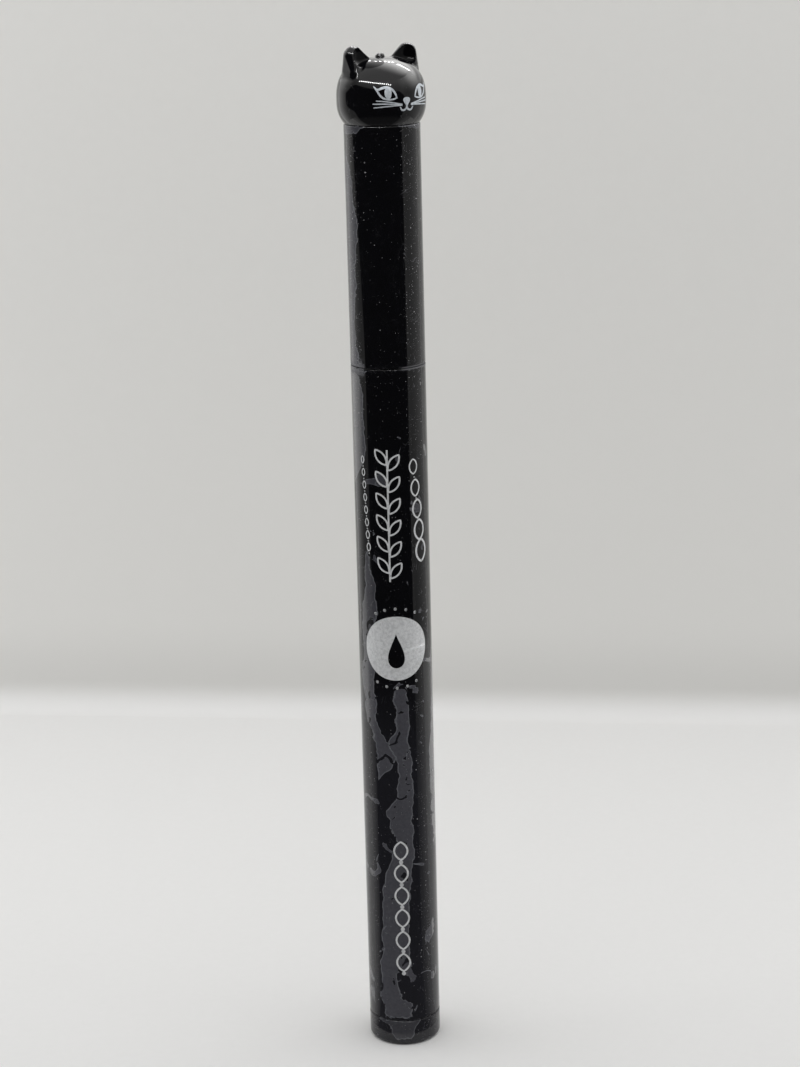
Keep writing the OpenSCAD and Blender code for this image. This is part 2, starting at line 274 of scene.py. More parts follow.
def hazeField(bench, around, up, bands):
    # above zero inside a hazy patch, in millimetres from its edge
    flat = bench.xyz(around, up)
    sway = bench.noise(flat, 0.42, 1.0, flat=True) - 0.5
    fray = (bench.noise(flat, 1.5, 1.0, flat=True) - 0.5) * 0.36
    shifted = around + (sway + fray)
    lifted = up + fray * 1.6
    fields = []
    for stops in bands.values():
        left, right = (heightLine(bench, lifted, stops, key) for key in (1, 2))
        inside = bench.least(shifted - left, right - shifted)
        ends = bench.least(lifted - stops[0][0], stops[-1][0] + 0.2 - lifted)
        fields.append(bench.least(inside, ends))
    return bench.most(*fields)


# the squarish ball that scoops out the front of an ear: middle, half sizes, and how square it is
earHollow, hollowPower = ((3.0, -1.9, 141.0), (1.9, 1.7, 1.45)), 3


def blackGloss(name, look):
    finish, bench, shader = newFinish(name)
    ease, noise, tint, most = bench.ease, bench.noise, bench.tint, bench.most
    place = inMillimetres(bench)
    around, up = unrolled(bench, look["radius"])
    flat = bench.xyz(around, up)
    left, leftIn, rightIn, right = look["core"]
    handled = ease(around, left, leftIn) * ease(around, right, rightIn)
    clean = 1.0 - handled * look["cleanCore"]
    # dust gathers in drifts
    drift = ease(noise(place, 0.16, 3.0, 0.6), 0.38, 0.62, 0.3, 1.0)
    thick = clean * drift
    where = place if look["domed"] else flat
    dust = most(*[specks(bench, where, scale, size, thick * share, not look["domed"])
                  for scale, size, share in look["grains"]]) * look["dust"]
    marksAndGlint = most(*[scratches(bench, around, up, lean, 1.7, look["scratches"]) for lean in (12, 68, 131)])
    fromLip = abs(up - look["wearAndGlintAt"])
    bySeam = ease(fromLip, 0.05, 0.55, 1.0, 0.0)
    rubbed = bySeam * ease(noise(place, 2.6, 3.0, 0.65), 0.55, 0.62)
    marksAndGlint = most(marksAndGlint * 0.7, rubbed) * clean
    # the lip carries a painted highlight at the right, and is torn at the left
    lip = ease(fromLip, 0.12, 0.26, 1.0, 0.0)
    tear = noise(bench.vector("ADD", flat, (2.0, 5.0, 0.0)), 1.3, 3.0, 0.6, flat=True)
    torn = ease(around, look["tornAt"], look["tornAt"] - 0.5) * ease(tear, 0.46, 0.5)
    torn = torn * ease(fromLip, 0.5, 1.5, 1.0, 0.0)
    # painted highlight: a pale line along the seam lip, from right of the front round to the back
    worn = lip * ease(around, 1.2, 2.4) * look["lipGlintAndTear"]
    marksAndGlint = most(marksAndGlint, worn, torn * look["lipGlintAndTear"])
    cloud = noise(place, 0.35, 4.0, 0.6)
    colour = tint(cloud, shaded(look["colour"], 0.7), shaded(look["colour"], 1.3))
    if look["lighterBelow"]:
        # the lower end is lighter
        colour = tint(ease(up, *look["lighterBelow"]), colour, look["lighterBelowColour"])
    rough = ease(cloud, 0.3, 0.7, look["polish"] * 0.7, look["polish"] * 1.5)
    height = noise(place, 0.28, 2.0, 0.4) * look["ripple"]
    if look["haze"]:
        field = hazeField(bench, around, up, look["haze"])
    if look["haze"] and look["islands"]:
        # torn islands round the back and low on the barrel, and dark holes in the bands
        island = noise(bench.vector("ADD", flat, (31.0, 4.0, 0.0)), 0.3, 3.0, 0.5, flat=True, bend=0.5)
        low = ease(up, 22.0, 62.0, -0.012, -0.06)
        behind = ease(abs(around), 8.4, 10.5, 0.0, 0.06)
        lift = low + behind - 0.645
        field = most(field, (island + lift) * 9.0)
        hole = noise(bench.vector("ADD", flat, (3.0, 17.0, 0.0)), 0.55, 2.0, 0.5, flat=True, bend=0.8)
        field = bench.least(field, (0.685 - hole) * 9.0)
    if look["haze"]:
        patch = ease(field, 0.0, 0.07)
        # painted highlight: a thin pale line just inside the edge of each haze patch
        rim = patch * ease(field, 0.10, 0.26, 1.0, 0.0)
        mottle = noise(place, 2.6, 4.0, 0.7)
        hazeTone = patch * ease(mottle, 0.25, 0.75, 0.75, 1.05)
        hazeTone = hazeTone * ease(up, 56.0, 68.0, 1.0, look["hazeAbove"])
        colour = tint(hazeTone, colour, look["hazeColour"])
        # painted highlight: haze patches towards the right edge, and more faintly towards the left, are
        # painted pale where the film's folds catch the light
        paintedFoldGlint = most(ease(around, 4.8, 5.1, 0.0, 0.7 * look["glintAtFolds"]),
                      ease(around, -4.0, -4.8, 0.0, 0.35 * look["glintAtFolds"]))
        paintedFoldGlint = patch * paintedFoldGlint
        colour = tint(paintedFoldGlint, colour, look["foldGlintColour"])
        colour = tint(rim * 0.30, colour, look["rimHighlightColour"])
        rough = rough + patch * 0.12
        height = height - patch * 0.6
    # scratches, torn film and the painted lip highlight share one colour
    colour = tint(marksAndGlint, colour, look["markAndGlintColour"])
    colour = tint(dust, colour, look["dustColour"])
    rough = rough + most(dust, marksAndGlint) * 0.45
    height = height + dust * 3.0
    height = height - marksAndGlint * 1.2
    bench.coat(shader, colour, rough, height, 2.5e-6)
    if look["domed"]:
        # the moulded hollows of the ears are given a weaker reflection: painted shade in the hollows
        middle, half = earHollow
        x, y, z = bench.split(bench.take("VectorRotate",
                                         {"Vector": place, "Angle": -math.radians(headTurn)}))
        ways = zip((abs(x), y, z), middle, half)
        far = functools.reduce(Flow.__add__,
                               [(abs(way - at) / reach) ** hollowPower for way, at, reach in ways])
        bench.wire(shader, {"Specular IOR Level": ease(far, 0.95, 1.25, look["hollowShadeGloss"], 0.5)})
    bench.wire(shader, {"IOR": look["ior"]})
    return finish


barrelLook = {
    "radius": tubeRadius, "domed": False, "colour": (0.0021, 0.0021, 0.0030), "polish": 0.055,
    "ripple": 1.6, "ior": 1.5, "dust": 0.75, "dustColour": (0.36, 0.36, 0.37),
    "grains": [(0.8, 0.07, 0.3), (2.1, 0.12, 0.26), (4.6, 0.17, 0.14)], "scratches": 0.38,
    "markAndGlintColour": (0.10, 0.10, 0.11), "wearAndGlintAt": 99.8, "lipGlintAndTear": 0.8, "tornAt": -3.2, "haze": hazeBands,
    "hazeColour": (0.068, 0.068, 0.080), "hazeAbove": 0.8, "islands": True, "glintAtFolds": 0.5,
    "foldGlintColour": (0.42, 0.42, 0.41), "rimHighlightColour": (0.27, 0.28, 0.30), "core": (-4.2, -3.6, 2.2, 2.8),
    "cleanCore": 0.75, "lighterBelow": (60.0, 40.0), "lighterBelowColour": (0.0075, 0.0075, 0.0110),
}
footHaze = {
    "footPatch": [
        (0.9, -1.2, 0.9), (1.5, -1.7, 1.3), (2.2, -2.1, 1.4), (3.0, -2.5, 1.6), (3.4, -3.4, 2.0),
        (3.75, -4.2, 2.4),
    ],
}
footLook = {
    **barrelLook, "haze": footHaze, "hazeColour": (0.045, 0.045, 0.053), "islands": False, "wearAndGlintAt": 0.3,
    "lipGlintAndTear": 0.0, "scratches": 0.45,
}
capHaze = {
    "neckLeft": [
        (131.0, -8.6, -6.6), (131.15, -16.4, -4.1), (131.45, -16.4, -3.6), (131.8, -16.4, -3.1),
        (132.08, -16.4, -2.4),
    ],
    "neckRight": [
        (131.35, 8.0, 16.4), (131.55, 5.3, 16.4), (131.75, 3.75, 16.4), (131.95, 2.7, 16.4),
        (132.08, 2.3, 16.4),
    ],
    "capLeft": [
        (99.95, -8.4, -3.9), (100.6, -8.4, -4.4), (103.2, -8.3, -4.9), (106.0, -8.3, -5.2),
        (110.0, -8.3, -4.7), (115.0, -8.3, -4.4), (119.0, -8.3, -3.9), (121.5, -8.3, -4.6),
        (124.0, -8.3, -4.9), (127.0, -8.3, -5.4), (129.5, -8.3, -7.2),
    ],
}
capLook = {
    **barrelLook, "haze": capHaze, "islands": False, "dust": 1.0, "scratches": 0.43, "wearAndGlintAt": 99.9,
    "hazeAbove": 0.85, "glintAtFolds": 0.0, "cleanCore": 0.85, "lighterBelow": None,
}
headLook = {
    **capLook, "haze": None, "domed": True, "grains": [(1.5, 0.10, 0.4), (3.4, 0.12, 0.3)], "radius": 5.95,
    "dust": 0.6, "scratches": 0.36, "wearAndGlintAt": 132.1, "lipGlintAndTear": 0.0, "ripple": 2.0, "hollowShadeGloss": 0.12,
}


def silverInk(name, look):
    finish, bench, shader = newFinish(name)
    place = inMillimetres(bench)
    mottle = bench.noise(place, 2.3, 4.0, 0.75)
    flake = bench.noise(place, 11.0, 2.0, 0.7)
    worn = bench.ease(bench.noise(bench.vector("ADD", place, (5.0, 9.0, 2.0)), 1.1, 4.0, 0.7), 0.66, 0.72,
                      0.0, 0.55)
    tone = mottle * 0.7 + flake * 0.3
    low, high = look["tones"]
    colour = bench.tint(bench.ease(tone, 0.36, 0.62), low, high)
    colour = bench.tint(worn, colour, (0.12, 0.12, 0.13))
    bench.coat(shader, colour, bench.ease(flake, 0.3, 0.7, 0.34, 0.52), flake, 1.5e-6)
    bench.wire(shader, {"Metallic": look["metal"]})
    return finish


faceInkLook = {"tones": ((0.42, 0.46, 0.50), (0.66, 0.70, 0.74)), "metal": 0.25}
barrelInkLook = {"tones": ((0.52, 0.53, 0.54), (0.74, 0.75, 0.76)), "metal": 0.1}


def satinPlastic(name, look):
    # moulded plastic for the parts under the cap: flow lines, pitted skin, smears of ink
    finish, bench, shader = newFinish(name)
    place = inMillimetres(bench)
    around, up = unrolled(bench, 3.5)
    grain = bench.noise(place, look["grain"], 4.0, 0.65)
    flow = bench.noise(bench.xyz(around * 1.4, up * 0.22, 0.0), 1.0, 3.0, 0.6)
    smear = bench.noise(bench.vector("ADD", place, (3.0, 1.0, 8.0)), 0.6, 4.0, 0.7, bend=0.4)
    colour = bench.tint(flow, look["low"], look["high"])
    stained = bench.ease(smear, look["stainFrom"], look["stainFrom"] + 0.08) * look["stain"]
    colour = bench.tint(stained, colour, (0.02, 0.02, 0.024))
    rough = bench.ease(grain, 0.3, 0.7, look["rough"] * 0.8, look["rough"] * 1.25)
    bench.coat(shader, colour, rough, grain, 4e-6)
    if look["milky"]:
        bench.wire(shader, {"Subsurface Weight": look["milky"], "Subsurface Scale": 0.0006})
    return finish


sectionLook = {"grain": 7.0, "low": (0.008, 0.008, 0.009), "high": (0.014, 0.014, 0.016), "stainFrom": 0.7,
               "stain": 0.5, "rough": 0.26, "milky": 0.0}
linerLook = {"grain": 5.0, "low": (0.72, 0.71, 0.68), "high": (0.80, 0.79, 0.77), "stainFrom": 0.66,
             "stain": 0.5, "rough": 0.32, "milky": 0.35}
feedLook = {"grain": 6.0, "low": (0.66, 0.65, 0.60), "high": (0.75, 0.74, 0.70), "stainFrom": 0.47,
            "stain": 0.85, "rough": 0.38, "milky": 0.25}


def fibreFinish(name, look):
    # bundled threads that run along the pen, soaked with ink
    finish, bench, shader = newFinish(name)
    place = inMillimetres(bench)
    around, up = unrolled(bench, 1.0)
    lanes = bench.noise(bench.xyz(around * 9.0, up * 0.6, 0.0), 1.0, 3.0, 0.7)
    soak = bench.noise(place, 0.5, 3.0, 0.6)
    colour = bench.tint(lanes, look["low"], look["high"])
    colour = bench.tint(bench.ease(soak, 0.4, 0.6, 0.0, look["soak"]), colour, (0.006, 0.006, 0.008))
    rough = bench.ease(lanes, 0.3, 0.7, look["rough"] * 0.8, look["rough"] * 1.2)
    bench.coat(shader, colour, rough, lanes, 12e-6)
    return finish


def metalFinish(name, look):
    finish, bench, shader = newFinish(name)
    place = inMillimetres(bench)
    drawn = bench.noise(bench.vector("MULTIPLY", place, look["stretch"]), 1.0, 4.0, 0.7)
    film = bench.noise(place, 1.3, 3.0, 0.6)
    colour = bench.tint(film, look["low"], look["high"])
    rough = bench.ease(drawn, 0.3, 0.7, look["rough"] * 0.6, look["rough"] * 1.5)
    bench.coat(shader, colour, rough, drawn, 1.8e-6)
    bench.wire(shader, {"Metallic": 1.0})
    return finish


finishes = {
    "barrel": blackGloss("barrelGloss", barrelLook),
    "foot": blackGloss("footGloss", footLook),
    "cap": blackGloss("capGloss", capLook),
    "head": blackGloss("headGloss", headLook),
    "faceInk": silverInk("faceSilver", faceInkLook),
    "barrelInk": silverInk("barrelSilver", barrelInkLook),
    "section": satinPlastic("sectionSatin", sectionLook),
    "liner": satinPlastic("linerMilky", linerLook),
    "feed": satinPlastic("feedPlastic", feedLook),
    "nib": fibreFinish("nibFibre", {"low": (0.010, 0.010, 0.012), "high": (0.045, 0.045, 0.05), "soak": 0.7,
                                    "rough": 0.42}),
    "wick": fibreFinish("wickFibre", {"low": (0.30, 0.29, 0.27), "high": (0.62, 0.61, 0.57), "soak": 0.9,
                                      "rough": 0.7}),
    "spring": metalFinish("springWire", {"low": (0.52, 0.53, 0.55), "high": (0.66, 0.67, 0.69),
                                         "rough": 0.24, "stretch": (14.0, 14.0, 3.0)}),
    "ball": metalFinish("ballSteel", {"low": (0.58, 0.59, 0.61), "high": (0.70, 0.71, 0.73), "rough": 0.12,
                                      "stretch": (5.0, 5.0, 5.0)}),
}
print("finishes mixed:", len(finishes))


def addPiece(name, mesh, finish, body, stands=()):
    # a finished mesh becomes a piece: metres, smooth skin, crisp where it folds, riding on its body
    mesh.materials.clear()
    mesh.materials.append(finish)
    mesh.polygons.foreach_set("use_smooth", [True] * len(mesh.polygons))
    mesh.set_sharp_from_angle(angle=math.radians(38))
    piece = placed(name, mesh)
    if isinstance(body, str):
        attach(piece, body)
    else:
        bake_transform(piece)
    if stands:
        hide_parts(*stands)
    print("made", name, len(mesh.polygons), "faces")


def meshFrom(bm, name, scale=mm):
    bmesh.ops.scale(bm, vec=(scale, scale, scale), verts=bm.verts)
    mesh = bpy.data.meshes.new(name)
    bm.to_mesh(mesh)
    bm.free()
    return mesh


def roundedOutline(corners, closed, hold=0.03):
    # corners are (radius, height, rounding); each becomes a small arc with a holding point on either side
    points, last = [], len(corners) - 1
    for i, (r, z, rounding) in enumerate(corners):
        if not closed and i in (0, last) or not rounding:
            points.append((r, z))
            continue
        here = Vector((r, z))
        back = Vector(corners[i - 1][:2]) - here
        on = Vector(corners[(i + 1) % len(corners)][:2]) - here
        turn = math.pi - back.angle(on)
        reach = min(rounding * math.tan(turn / 2), 0.48 * back.length, 0.48 * on.length)
        radius = reach / math.tan(turn / 2)
        back.normalize()
        on.normalize()
        middle = here + (back + on).normalized() * (radius / math.cos(turn / 2))
        steps = max(2, math.ceil(math.degrees(turn) / 13))
        start, end = here + back * reach, here + on * reach
        points.append(tuple(start + back * min(hold, reach * 0.04 + hold)))
        for k in range(steps + 1):
            a = (start - middle).lerp(end - middle, k / steps)
            sweep = (start - middle).slerp(end - middle, k / steps) if a.length > 1e-9 else a
            points.append(tuple(middle + sweep.normalized() * radius))
        points.append(tuple(end + on * min(hold, reach * 0.04 + hold)))
    return points


def turnedBody(outline, closed, segments=192):
    bm = bmesh.new()
    rings = []
    for r, z in outline:
        if r < 1e-6:
            rings.append([bm.verts.new((0, 0, z))])
            continue
        angles = (2 * math.pi * k / segments for k in range(segments))
        rings.append([bm.verts.new((r * math.cos(a), r * math.sin(a), z)) for a in angles])
    pairs = list(zip(rings, rings[1:])) + ([(rings[-1], rings[0])] if closed else [])
    for a, b in pairs:
        for i in range(segments):
            j = (i + 1) % segments
            ring = [a[0]] if len(a) == 1 else [a[i], a[j]]
            ring += [b[0]] if len(b) == 1 else [b[j], b[i]]
            if len(ring) > 2:
                bm.faces.new(ring)
    bmesh.ops.recalc_face_normals(bm, faces=bm.faces)
    return bm


def turnedPiece(name, corners, closed, finish, body, node):
    mesh = meshFrom(turnedBody(roundedOutline(corners, closed), closed), name)
    addPiece(name, mesh, finishes[finish], body, [node])


barrelForm = {
    "outside": tubeRadius, "tank": 3.8, "socket": 4.25, "foot": 3.9, "ledge": 87.8, "seam": 99.8,
    "edge": 0.12, "topEdge": 0.11, "inside": 0.08,
}


def makeBarrel(s):
    corners = [
        (s["tank"], s["foot"], s["inside"]), (s["outside"], s["foot"], s["edge"]),
        (s["outside"], s["seam"], s["topEdge"]), (s["socket"], s["seam"], s["inside"]),
        (s["socket"], s["ledge"], s["inside"]), (s["tank"], s["ledge"], s["inside"]),
    ]
    turnedPiece("barrelShell", corners, True, "barrel", "pen", "barrel")


footForm = {
    "outside": tubeRadius, "height": 3.8, "edge": 0.30, "heel": 0.6, "recess": 2.8, "recessDeep": 0.4,
    "floor": 1.5, "plug": 3.68, "bead": 3.77, "top": 12.8, "cup": 2.3, "beads": (4.7, 11.0),
    "beadHigh": 0.9,
}


def makeFoot(s):
    lead = s["bead"] - s["plug"]
    corners = [
        (0, s["recessDeep"], 0), (s["recess"] - s["recessDeep"], s["recessDeep"], 0.15),
        (s["recess"], 0, 0.15), (s["outside"], 0, s["heel"]), (s["outside"], s["height"], s["edge"]),
        (s["plug"], s["height"], 0.05),
    ]
    for z in s["beads"]:
        corners += [(s["plug"], z, 0), (s["bead"], z + lead, 0.1),
                    (s["bead"], z + s["beadHigh"] - lead, 0.1), (s["plug"], z + s["beadHigh"], 0)]
    corners += [(s["plug"], s["top"], lead), (s["cup"], s["top"], 0.12), (s["cup"], s["floor"], 0.3),
                (0, s["floor"], 0)]
    turnedPiece("footPlug", corners, False, "foot", "pen", "tail_plug")


capForm = {
    "outside": tubeRadius, "bore": 4.25, "rim": 99.9, "top": 132.1, "edge": 0.09, "topEdge": 0.14,
    "keeper": 3.95, "keeperTop": 113.0, "keeperHigh": 0.6, "keeperLead": 0.3,
}


def makeCap(s):
    low = s["keeperTop"] - s["keeperHigh"]
    corners = [
        (s["bore"], s["rim"], 0.15), (s["outside"], s["rim"], s["edge"]),
        (s["outside"], s["top"], s["topEdge"]), (s["bore"], s["top"], 0.08),
        (s["bore"], s["keeperTop"], 0.05), (s["keeper"], s["keeperTop"], 0.08),
        (s["keeper"], low + s["keeperLead"], 0.12), (s["bore"], low, 0.1),
    ]
    turnedPiece("capTube", corners, True, "cap", "cap", "cap_tube")


sectionForm = {
    "bore": 3.12, "insert": 4.22, "ledge": 87.8, "seam": 99.8, "neck": 4.05, "neckTop": 104.8, "ring": 4.22,
    "ringHigh": 1.2, "nose": 2.77, "noseFoot": 114.0, "noseTop": 117.5, "tip": 119.7, "tipOut": 1.405,
    "tipBore": 1.005, "sleeve": 1.485, "boreStep": 97.83, "step": 0.4, "taperSteps": 28,
}


def makeSection(s):
    ringLow = s["seam"] + (s["neckTop"] - s["seam"] - s["ringHigh"]) / 2
    out = s["ring"] - s["neck"]
    corners = [
        (s["bore"], s["ledge"], 0.1), (s["insert"], s["ledge"], 0.2), (s["insert"], s["seam"], 0.08),
        (s["neck"], s["seam"], 0.1), (s["neck"], ringLow, 0.12), (s["ring"], ringLow + out, 0.2),
        (s["ring"], ringLow + s["ringHigh"] - out, 0.2), (s["neck"], ringLow + s["ringHigh"], 0.12),
    ]
    # the taper runs out smoothly at both ends
    for i in range(s["taperSteps"] + 1):
        t = i / s["taperSteps"]
        r = s["neck"] - (s["neck"] - s["nose"]) * (1 - math.cos(math.pi * t)) / 2
        corners.append((r, s["neckTop"] + (s["noseFoot"] - s["neckTop"]) * t, 0))
    corners += [
        (s["nose"], s["noseTop"], 0.2), (s["nose"] - s["step"], s["noseTop"], 0.1),
        (s["tipOut"], s["tip"], 0.15), (s["tipBore"], s["tip"], 0.06), (s["tipBore"], s["noseTop"], 0.05),
        (s["sleeve"], s["noseTop"], 0.05), (s["sleeve"], s["boreStep"], 0.05),
        (s["bore"], s["boreStep"], 0.1),
    ]
    turnedPiece("gripSection", corners, True, "section", "pen", "front_section")


makeBarrel(barrelForm)
makeFoot(footForm)
makeCap(capForm)
makeSection(sectionForm)

# The cat's head, drawn facing the front and turned with the cap afterwards.
headForm = {
    "turn": headTurn, "capTop": 132.1, "belly": 135.3, "crown": 140.7, "radius": 5.95, "stepIn": 0.98,
    "cheekPower": 2.7, "crownPower": 2.5, "skin": 0.010, "fillets": (0.25, 0.6), "filletAt": (4.3, 5.0),
    "rimRound": 0.09,
    "earBalls": [
        ((4.25, 0.0, 141.05), 1.3), ((4.68, 0.0, 140.65), 0.75), ((1.95, 0.0, 140.25), 0.45),
        ((4.55, 0.93, 139.0), 0.77), ((4.55, -0.93, 139.0), 0.77),
    ],
    "hollow": earHollow, "hollowPower": hollowPower, "earsFrom": 136.6,
    "roughFoot": 131.2, "roughRings": 26, "voxel": 0.115, "fineFrom": (1.7, 137.4), "drawSteps": 8,
    "plug": 4.22, "plugFoot": 126.6, "bore": 3.62, "ceiling": 138.1,
    # the stub in the crown: half width and height, and its rings as shares of the two
    "gate": (0.62, 0.42),
    "gateRings": [(1.05, -0.3), (1.0, 0.2), (0.95, 0.62), (0.82, 0.86), (0.66, 0.7), (0.48, 0.92),
                  (0.24, 1.0)],
}


def headRadius(z, s=headForm):
    # radius of the bare head at a height, without the ears
    t = np.clip((z - s["capTop"]) / (s["belly"] - s["capTop"]), -0.3, 1)
    cheek = s["radius"] - s["stepIn"] * (1 - t) ** s["cheekPower"]
    h = np.clip((z - s["belly"]) / (s["crown"] - s["belly"]), 0, 1)
    dome = s["radius"] * (1 - h ** s["crownPower"]) ** (1 / s["crownPower"])
    return np.where(z < s["belly"], cheek, dome)


def unit(v):
    return v / np.maximum(np.linalg.norm(v, axis=-1, keepdims=True), 1e-9)


def hullDistance(p, centres, radii):
    # how far points lie outside a skin stretched tight over balls: the best of every way it can touch
    best = np.full(len(p), -1e9)

    def lean(normal):
        reach = np.max(normal @ centres.T + radii, axis=-1)
        np.maximum(best, np.sum(normal * p, axis=-1) - reach, out=best)

    for centre in centres:
        lean(unit(p - centre))
    for i, j in itertools.combinations(range(len(radii)), 2):
        along = centres[i] - centres[j]
        gap = np.linalg.norm(along)
        along /= gap
        a = (radii[j] - radii[i]) / gap
        out = p - centres[i]
        out -= np.outer(out @ along, along)
        lean(a * along + math.sqrt(1 - a * a) * unit(out))
    for i, j, k in itertools.combinations(range(len(radii)), 3):
        rows = np.array([centres[i] - centres[j], centres[i] - centres[k]])
        base = np.linalg.lstsq(rows, np.array([radii[j] - radii[i], radii[k] - radii[i]]), rcond=None)[0]
        face = unit(np.cross(*rows)) * math.sqrt(max(1 - base @ base, 0))
        for side in (base + face, base - face):
            lean(side)
    return best


def headField(p, s=headForm):
    # below zero inside the head; both ears at once, because the head is the same on both sides
    p = np.column_stack([np.abs(p[:, 0]), p[:, 1:]])
    r, z = np.hypot(p[:, 0], p[:, 1]), p[:, 2]
    t = (z - s["capTop"]) / (s["belly"] - s["capTop"])
    away = np.maximum(1 - t, 0)
    slope = s["stepIn"] * s["cheekPower"] * away ** (s["cheekPower"] - 1) / (s["belly"] - s["capTop"])
    cheek = (r - s["radius"] + s["stepIn"] * away ** s["cheekPower"]) / np.sqrt(1 + slope ** 2)
    tall, power = s["crown"] - s["belly"], s["crownPower"]
    u, v = r / s["radius"], np.maximum(z - s["belly"], 0) / tall
    size = np.maximum((u ** power + v ** power) ** (1 / power), 1e-6)
    steep = np.hypot((u / size) ** (power - 1) / s["radius"], (v / size) ** (power - 1) / tall)
    field = np.where(z < s["belly"], cheek, (size - 1) / steep)
    near = z > s["earsFrom"]
    if near.any():
        centres = np.array([ball[0] for ball in s["earBalls"]])
        ear = hullDistance(p[near], centres, np.array([ball[1] for ball in s["earBalls"]]))
        # the front of each ear is scooped out, with a flat floor
        middle, half = (np.array(v) for v in s["hollow"])
        power = s["hollowPower"]
        q = np.abs(p[near] - middle) / half
        size = np.maximum(np.sum(q ** power, axis=1) ** (1 / power), 1e-6)
        steep = np.linalg.norm((q / size[:, None]) ** (power - 1) / half, axis=1)
        scoop = (1 - size) / np.maximum(steep, 1e-6)
        k = s["rimRound"]
        lip = np.maximum(k - np.abs(ear - scoop), 0) / k
        ear = np.maximum(ear, scoop) + lip * lip * k / 4
        # it grows from the dome with a tight fold inside and a wide sweep outside
        t = np.clip((p[near, 0] - s["filletAt"][0]) / (s["filletAt"][1] - s["filletAt"][0]), 0, 1)
        k = s["fillets"][0] + (s["fillets"][1] - s["fillets"][0]) * t * t * (3 - 2 * t)
        bowl = np.maximum(k - np.abs(field[near] - ear), 0) / k
        field[near] = np.minimum(field[near], ear) - bowl * bowl * k / 4
    return field + s["skin"]


def headSlope(p, step=0.002):
    return np.column_stack([(headField(p + e) - headField(p - e)) / (2 * step) for e in np.eye(3) * step])


def evaluated(thing):
    # the mesh that a helper object's modifiers make; the object itself goes
    made = bpy.data.meshes.new_from_object(thing.evaluated_get(bpy.context.evaluated_depsgraph_get()))
    bpy.data.objects.remove(thing)
    return made


def carvedEar(side, s):
    # a skin round the ear's balls, cut by a squarish ball
    grown = bmesh.new()
    for (x, y, z), r in s["earBalls"]:
        spot = Matrix.Translation((side * x, y, z))
        bmesh.ops.create_icosphere(grown, subdivisions=3, radius=r, matrix=spot)
    hull = bmesh.ops.convex_hull(grown, input=grown.verts, use_existing_faces=False)
    inner = {v for v in hull["geom_interior"] + hull["geom_unused"] if isinstance(v, bmesh.types.BMVert)}
    bmesh.ops.delete(grown, geom=list(inner), context="VERTS")
    (x, y, z), half = s["hollow"]
    scooped = bmesh.new()
    bmesh.ops.create_icosphere(scooped, subdivisions=4, radius=1.0)
    for v in scooped.verts:
        reach = sum(abs(c) ** s["hollowPower"] for c in v.co) ** (1 / s["hollowPower"])
        v.co = Vector((side * x, y, z)) + Vector(half) * v.co / reach
    ear, hollow = placed("ear", meshFrom(grown, "ear", 1)), placed("hollow", meshFrom(scooped, "hollow", 1))
    cut = ear.modifiers.new("hollow", "BOOLEAN")
    cut.operation, cut.solver, cut.object = "DIFFERENCE", "EXACT", hollow
    carved = evaluated(ear)
    bpy.data.objects.remove(hollow)
    return carved


def makeHead(s):
    # a rough head with its ears, remeshed as one skin, then drawn on to the exact form
    foot, crown = s["roughFoot"], s["crown"]
    heights = [float(z) for z in np.linspace(foot, crown - 0.02, s["roughRings"])]
    rough = turnedBody([(0, foot), *((float(headRadius(z)), z) for z in heights), (0, crown)], False, 64)
    for side in (-1, 1):
        rough.from_mesh(carvedEar(side, s))
    holder = placed("headRough", meshFrom(rough, "headRough", 1))
    remesh = holder.modifiers.new("skin", "REMESH")
    remesh.mode = "VOXEL"
    remesh.voxel_size = s["voxel"]
    bm = bmesh.new()
    bm.from_mesh(evaluated(holder))
    # twice as fine on the ears
    aside, above = s["fineFrom"]
    middles = ((f, f.calc_center_median()) for f in bm.faces)
    edges = {e for f, middle in middles if middle.z > above and abs(middle.x) > aside for e in f.edges}
    bmesh.ops.subdivide_edges(bm, edges=list(edges), cuts=1, use_grid_fill=True)
    bmesh.ops.triangulate(bm, faces=[f for f in bm.faces if len(f.verts) > 4])
    bm.verts.ensure_lookup_table()
    p = np.array([v.co for v in bm.verts])
    for _ in range(s["drawSteps"]):
        slope = headSlope(p)
        push = headField(p) / np.maximum(np.sum(slope * slope, axis=1), 0.2)
        p -= slope * np.clip(push, -0.3, 0.3)[:, None]
    for v, co in zip(bm.verts, p):
        v.co = co
    bmesh.ops.bisect_plane(bm, geom=bm.verts[:] + bm.edges[:] + bm.faces[:], dist=1e-5,
                           plane_co=(0, 0, s["capTop"]), plane_no=(0, 0, 1), clear_inner=True)
    rim = [e for e in bm.edges if e.is_boundary]
    print("head skin:", len(bm.verts), "points, rim of", len(rim))
    # the plug and the bore close it from below
    plug = roundedOutline([
        (s["plug"], s["capTop"], 0), (s["plug"], s["plugFoot"], 0.2), (s["bore"], s["plugFoot"], 0.15),
        (s["bore"], s["ceiling"], 0.2), (0, s["ceiling"], 0),
    ], False)
    bm.from_mesh(meshFrom(turnedBody(plug, False, 128), "headPlug", 1))
    bmesh.ops.bridge_loops(bm, edges=[e for e in bm.edges if e.is_boundary])
    bmesh.ops.triangulate(bm, faces=[f for f in bm.faces if len(f.verts) > 4])
    bmesh.ops.recalc_face_normals(bm, faces=bm.faces)
    makeGate(bm, s)
    bmesh.ops.rotate(bm, verts=bm.verts, cent=(0, 0, 0),
                     matrix=Matrix.Rotation(math.radians(s["turn"]), 3, "Z"))
    addPiece("catHead", meshFrom(bm, "catHead"), finishes["head"], "cap", ["cat_head"])


